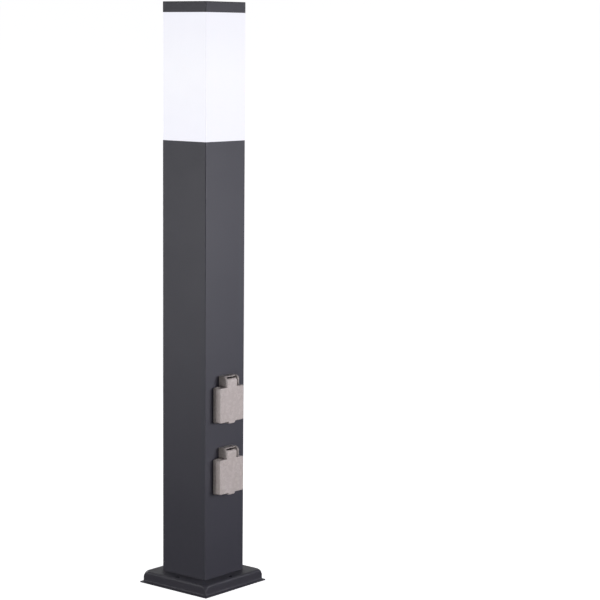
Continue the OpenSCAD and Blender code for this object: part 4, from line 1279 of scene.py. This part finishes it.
@dataclass
class PushSwitch:
    """Bright push switch on the post's side, drawn as right, up and out from its centre."""

    centre_z: float = 542.5
    face: float = 40.0
    bezel_r: float = 7.25
    seal_t: float = 0.5
    bezel_out: float = 2.6
    barrel_r: float = 5.95
    chamber_r: float = 4.9
    chamber_front: float = -2.0
    barrel_back: float = -16.0
    button_r: float = 3.6
    button_out: float = 12.0
    collar_back: float = -4.0
    nut_back: float = -4.0
    nut_front: float = -1.5
    nut_flats: float = 14.0

    def place(self) -> Matrix:
        """Gives the matrix from the switch's axes to the post's, in millimetres."""
        return Matrix(((0, 0, 1, self.face), (1, 0, 0, 0), (0, 1, 0, self.centre_z), (0, 0, 0, 1)))

    def build(self) -> None:
        """Makes the bright pieces and dresses the hidden ones."""
        place = self.place()
        Piece("switch_bezel", self.bezel_shape(), Finishes.NICKEL,
              nodes=("switch_body",)).publish(place)
        Piece("switch_plunger", self.plunger_shape(), Finishes.NICKEL, Body.BUTTON,
              ("switch_button",)).publish(place)
        Piece("switch_ring_nut", self.nut_shape(), Finishes.NICKEL,
              nodes=("switch_nut",)).publish(place)
        dress_all({"switch_seal": Finishes.RUBBER, "switch_spring": Finishes.ZINC,
                   "switch_base": Finishes.PHENOLIC, "switch_tabs": Finishes.BRASS})

    def bezel_shape(self) -> Solid:
        """Turns the bezel, the ring groove in its face and the barrel behind it.

        Returns:
            The bezel, with its bore open.
        """
        bore, top, r = self.button_r + 0.08, self.bezel_out, self.bezel_r
        profile = [(bore, self.chamber_front), (bore, top - 0.75)]
        profile += [(5.1, top - 0.75)] + arc((5.5, top - 0.25), 0.25, 180, 90, 3)
        profile += arc((r - 0.8, top - 0.8), 0.8, 90, 0, 6)
        profile += [(r, self.seal_t + 0.15), (r - 0.15, self.seal_t), (self.barrel_r, self.seal_t)]
        back = self.barrel_back
        profile += [(self.barrel_r, back + 0.4), (self.barrel_r - 0.4, back)]
        profile += [(self.chamber_r, back), (self.chamber_r, self.chamber_front)]
        return Solid.turned(profile, 72, looped=True)

    def plunger_shape(self) -> Solid:
        """Turns the button: a domed end, a fine groove and the collar that holds it in.

        Returns:
            The button.
        """
        r, end = self.button_r, self.button_out
        dome = 2.4
        dome_r = (r * r + dome * dome) / (2 * dome)
        reach = math.degrees(math.acos((dome_r - dome) / dome_r))
        profile = [(0, self.collar_back - 4), (1.5, self.collar_back - 4), (1.5, self.collar_back),
                   (4.8, self.collar_back), (4.8, self.chamber_front - 0.2),
                   (r, self.chamber_front - 0.2)]
        profile += [(r, end - dome - 1.5), (r - 0.18, end - dome - 1.32),
                    (r - 0.18, end - dome - 1.08), (r, end - dome - 0.9)]
        profile += arc((0, end - dome_r), dome_r, 90 - reach, 90, 12)
        return Solid.turned(profile, 64)

    def nut_shape(self) -> Solid:
        """Makes the hexagon nut behind the post's wall."""
        outline = arc((0, 0), self.nut_flats / math.sqrt(3), 0, 300, 5)
        return Solid.prism(outline, self.nut_back, self.nut_front, 0.3, 0.3).carve(
            Solid.peg(self.barrel_r + 0.05, -6, 0, 48))


@dataclass
class Wiring:
    """What is hidden in the post's lower end, and the wires that leave it."""

    finishes: dict[str, Finish] = field(default_factory=lambda: {
        "terminal_bracket": Finishes.ZINC, "terminal_strip": Finishes.PALE_PLASTIC,
        "terminal_screws": Finishes.ZINC, "strip_screws": Finishes.ZINC,
        "cable_clamp": Finishes.ZINC, "clamp_screws": Finishes.ZINC,
        "earth_stud": Finishes.BRASS, "earth_nuts": Finishes.BRASS,
        "live_wires": Finishes.LIVE, "neutral_wires": Finishes.NEUTRAL,
        "earth_wires": Finishes.EARTH,
    })

    def build(self) -> None:
        """Dresses each solid of the wiring."""
        dress_all(self.finishes)


@dataclass
class Post:
    """The square tube that carries everything."""

    def build(self) -> None:
        """Dresses the tube, whose CAD solid has the right shape."""
        dress("post_tube", Finishes.POST_COAT)


@dataclass(frozen=True)
class Softbox:
    """Upright studio light that faces the post, with a grid that keeps its light near its axis."""

    name: str
    bearing_deg: float
    level_m: float
    width_m: float
    height_m: float
    watts: float
    tone: str = "#ffffff"
    spread_deg: float = 120.0
    reach_m: float = 1.5

    def build(self) -> None:
        """Adds the light, out of the camera's sight; its bearing turns from -Y towards +X."""
        turn = math.radians(self.bearing_deg)
        away = Vector((math.sin(turn), -math.cos(turn), 0))
        data = bpy.data.lights.new(self.name, "AREA")
        data.shape, data.size, data.size_y = "RECTANGLE", self.width_m, self.height_m
        data.energy, data.color = self.watts, linear(self.tone)[:3]
        data.spread = math.radians(self.spread_deg)
        lamp = bpy.data.objects.new(self.name, data)
        lamp.location = away * self.reach_m + Vector((0, 0, self.level_m))
        lamp.rotation_euler = (-away).to_track_quat("-Z", "Y").to_euler()
        lamp.visible_camera = False
        bpy.context.scene.collection.objects.link(lamp)


@dataclass
class Studio:
    """Pale floor that runs up into a backdrop, seven softboxes, a dim sky and the camera."""

    floor_r: float = 3.4
    shade_r: float = 0.055
    shade_edge: float = 0.004
    paper: str = "#c9c9cb"
    second_paper: str = "#cdcdce"
    paper_glow: float = 0.93
    sweep_r: float = 1.4
    wall_h: float = 5.0
    sky: str = "#6c6d70"
    ground: str = "#2e2e31"
    azimuth: float = 0.830981997
    turn: float = 0.880647562
    distance: float = 2.68354932
    height: float = 0.75834046
    pitch: float = 0.13268335
    roll: float = 0.00883787
    focal_px: float = 1956.78341
    image_px: float = 600.0
    sensor_mm: float = 36.0

    def build(self) -> None:
        """Sets up the stage, the light and the camera."""
        bpy.context.scene.view_settings.view_transform = "Standard"
        self.backdrop()
        self.world()
        self.lights()
        self.camera()

    def backdrop(self) -> None:
        """Makes the floor and the backdrop as one smooth bowl that is open at the top."""
        r, s, h = self.floor_r, self.sweep_r, self.wall_h
        profile = [(self.shade_r, 0.0), (0.3, 0.0), (1.0, 0.0), (r, 0.0)]
        profile += [(r + x, s + y) for x, y in arc((0, 0), s, -90, 0, 12)][1:] + [(r + s, h)]
        turns = [math.tau * i / 96 for i in range(96)]
        rings = [[(p * math.cos(a), p * math.sin(a), z) for a in turns] for p, z in profile]
        bowl = Solid.skin(rings)
        bowl.faces.pop()
        data = bowl.mesh("studio_floor")
        data.shade_smooth()
        data.materials.append(self.floor_material())
        floor = bpy.data.objects.new("studio_floor", data)
        bpy.context.scene.collection.objects.link(floor)
        floor.visible_diffuse = False
        floor.visible_glossy = False
        floor.visible_shadow = False

    def floor_material(self) -> bpy.types.Material:
        """Makes the pale paper of the backdrop, lit enough of itself to stay white.

        Only the round patch that the foot covers doesn't glow, so it's dark through the holes.

        Returns:
            The material.
        """
        made = bpy.data.materials.new("studio_paper")
        nodes = Nodes(made)
        grain = nodes.add("ShaderNodeTexNoise", {"Scale": 6.0}, {"Vector": nodes.place})
        reach = nodes.add("ShaderNodeVectorMath", {"operation": "LENGTH"}, {0: nodes.place})
        ends = (self.shade_r - self.shade_edge, self.shade_r, 0, self.paper_glow)
        settings = {"Roughness": 0.9, "Specular IOR Level": 0.0,
                    "Emission Color": linear("#ffffff")}
        paper = nodes.add("ShaderNodeBsdfPrincipled", settings, {
            "Base Color": nodes.mix(grain.outputs[0], self.paper, self.second_paper),
            "Emission Strength": nodes.span(reach.outputs["Value"], ends),
        })
        nodes.add("ShaderNodeOutputMaterial", links={"Surface": paper.outputs[0]})
        return made

    def world(self) -> None:
        """Makes a soft sky that is dimmer towards the ground."""
        sky = bpy.data.worlds.new("studio_sky")
        nodes = Nodes(sky, "Generated")
        height = nodes.add("ShaderNodeSeparateXYZ", links={0: nodes.place}).outputs["Z"]
        tone = nodes.mix(nodes.span(height, (-0.3, 0.4, 0, 1)), self.ground, self.sky)
        back = nodes.add("ShaderNodeBackground", links={"Color": tone})
        nodes.add("ShaderNodeOutputWorld", links={"Surface": back.outputs[0]})
        bpy.context.scene.world = sky

    def lights(self) -> None:
        """Sets a light before each face, two off the corners and one that lights from below."""
        for box in (
            Softbox("key_outlets", 20, 0.46, 0.80, 0.50, 4.0, "#f9f9ff", 90),
            Softbox("corner_outlets_switch", 47, 0.58, 0.30, 0.60, 0.35, "#f9f9ff"),
            Softbox("key_left", -112, 0.46, 0.50, 0.60, 2.15, "#fcfcff"),
            Softbox("corner_left_back", -124, 0.46, 0.80, 0.90, 1.65, "#fcfcff"),
            Softbox("floor_bounce", -47, -0.08, 0.30, 0.24, 1.7),
            Softbox("key_back", 165, 0.50, 1.00, 0.80, 4.2),
            Softbox("panel_switch", 112, 0.60, 1.40, 1.20, 1.4),
        ):
            box.build()

    def camera(self) -> None:
        """Places the camera as the photograph's own view was worked out."""
        data = bpy.data.cameras.new("view")
        data.sensor_width = self.sensor_mm
        data.lens = self.focal_px * self.sensor_mm / self.image_px
        data.clip_end = 50.0
        eye = Vector((-self.distance * math.sin(self.azimuth),
                      -self.distance * math.cos(self.azimuth), self.height))
        level = Vector((math.sin(self.turn), math.cos(self.turn), 0))
        side = Vector((math.cos(self.turn), -math.sin(self.turn), 0))
        ahead = level * math.cos(self.pitch) - Vector((0, 0, 1)) * math.sin(self.pitch)
        above = Vector((0, 0, 1)) * math.cos(self.pitch) + level * math.sin(self.pitch)
        right = side * math.cos(self.roll) + above * math.sin(self.roll)
        up = above * math.cos(self.roll) - side * math.sin(self.roll)
        view = Matrix((right, up, -ahead)).transposed().to_4x4()
        view.translation = eye
        holder = bpy.data.objects.new("view", data)
        holder.matrix_world = view
        bpy.context.scene.collection.objects.link(holder)
        bpy.context.scene.camera = holder


def main() -> None:
    """Builds the studio and each sub-assembly in order."""
    logging.basicConfig(level=logging.INFO, format="%(name)s %(message)s")
    Studio().build()
    for part in (
        Foot(),
        Post(),
        LampHead(),
        Outlet("lower", 160.0, Body.LOWER_LID),
        Outlet("upper", 260.0, Body.UPPER_LID),
        PushSwitch(),
        Wiring(),
    ):
        log.info("building %s", type(part).__name__)
        part.build()


if __name__ == "__main__":
    main()
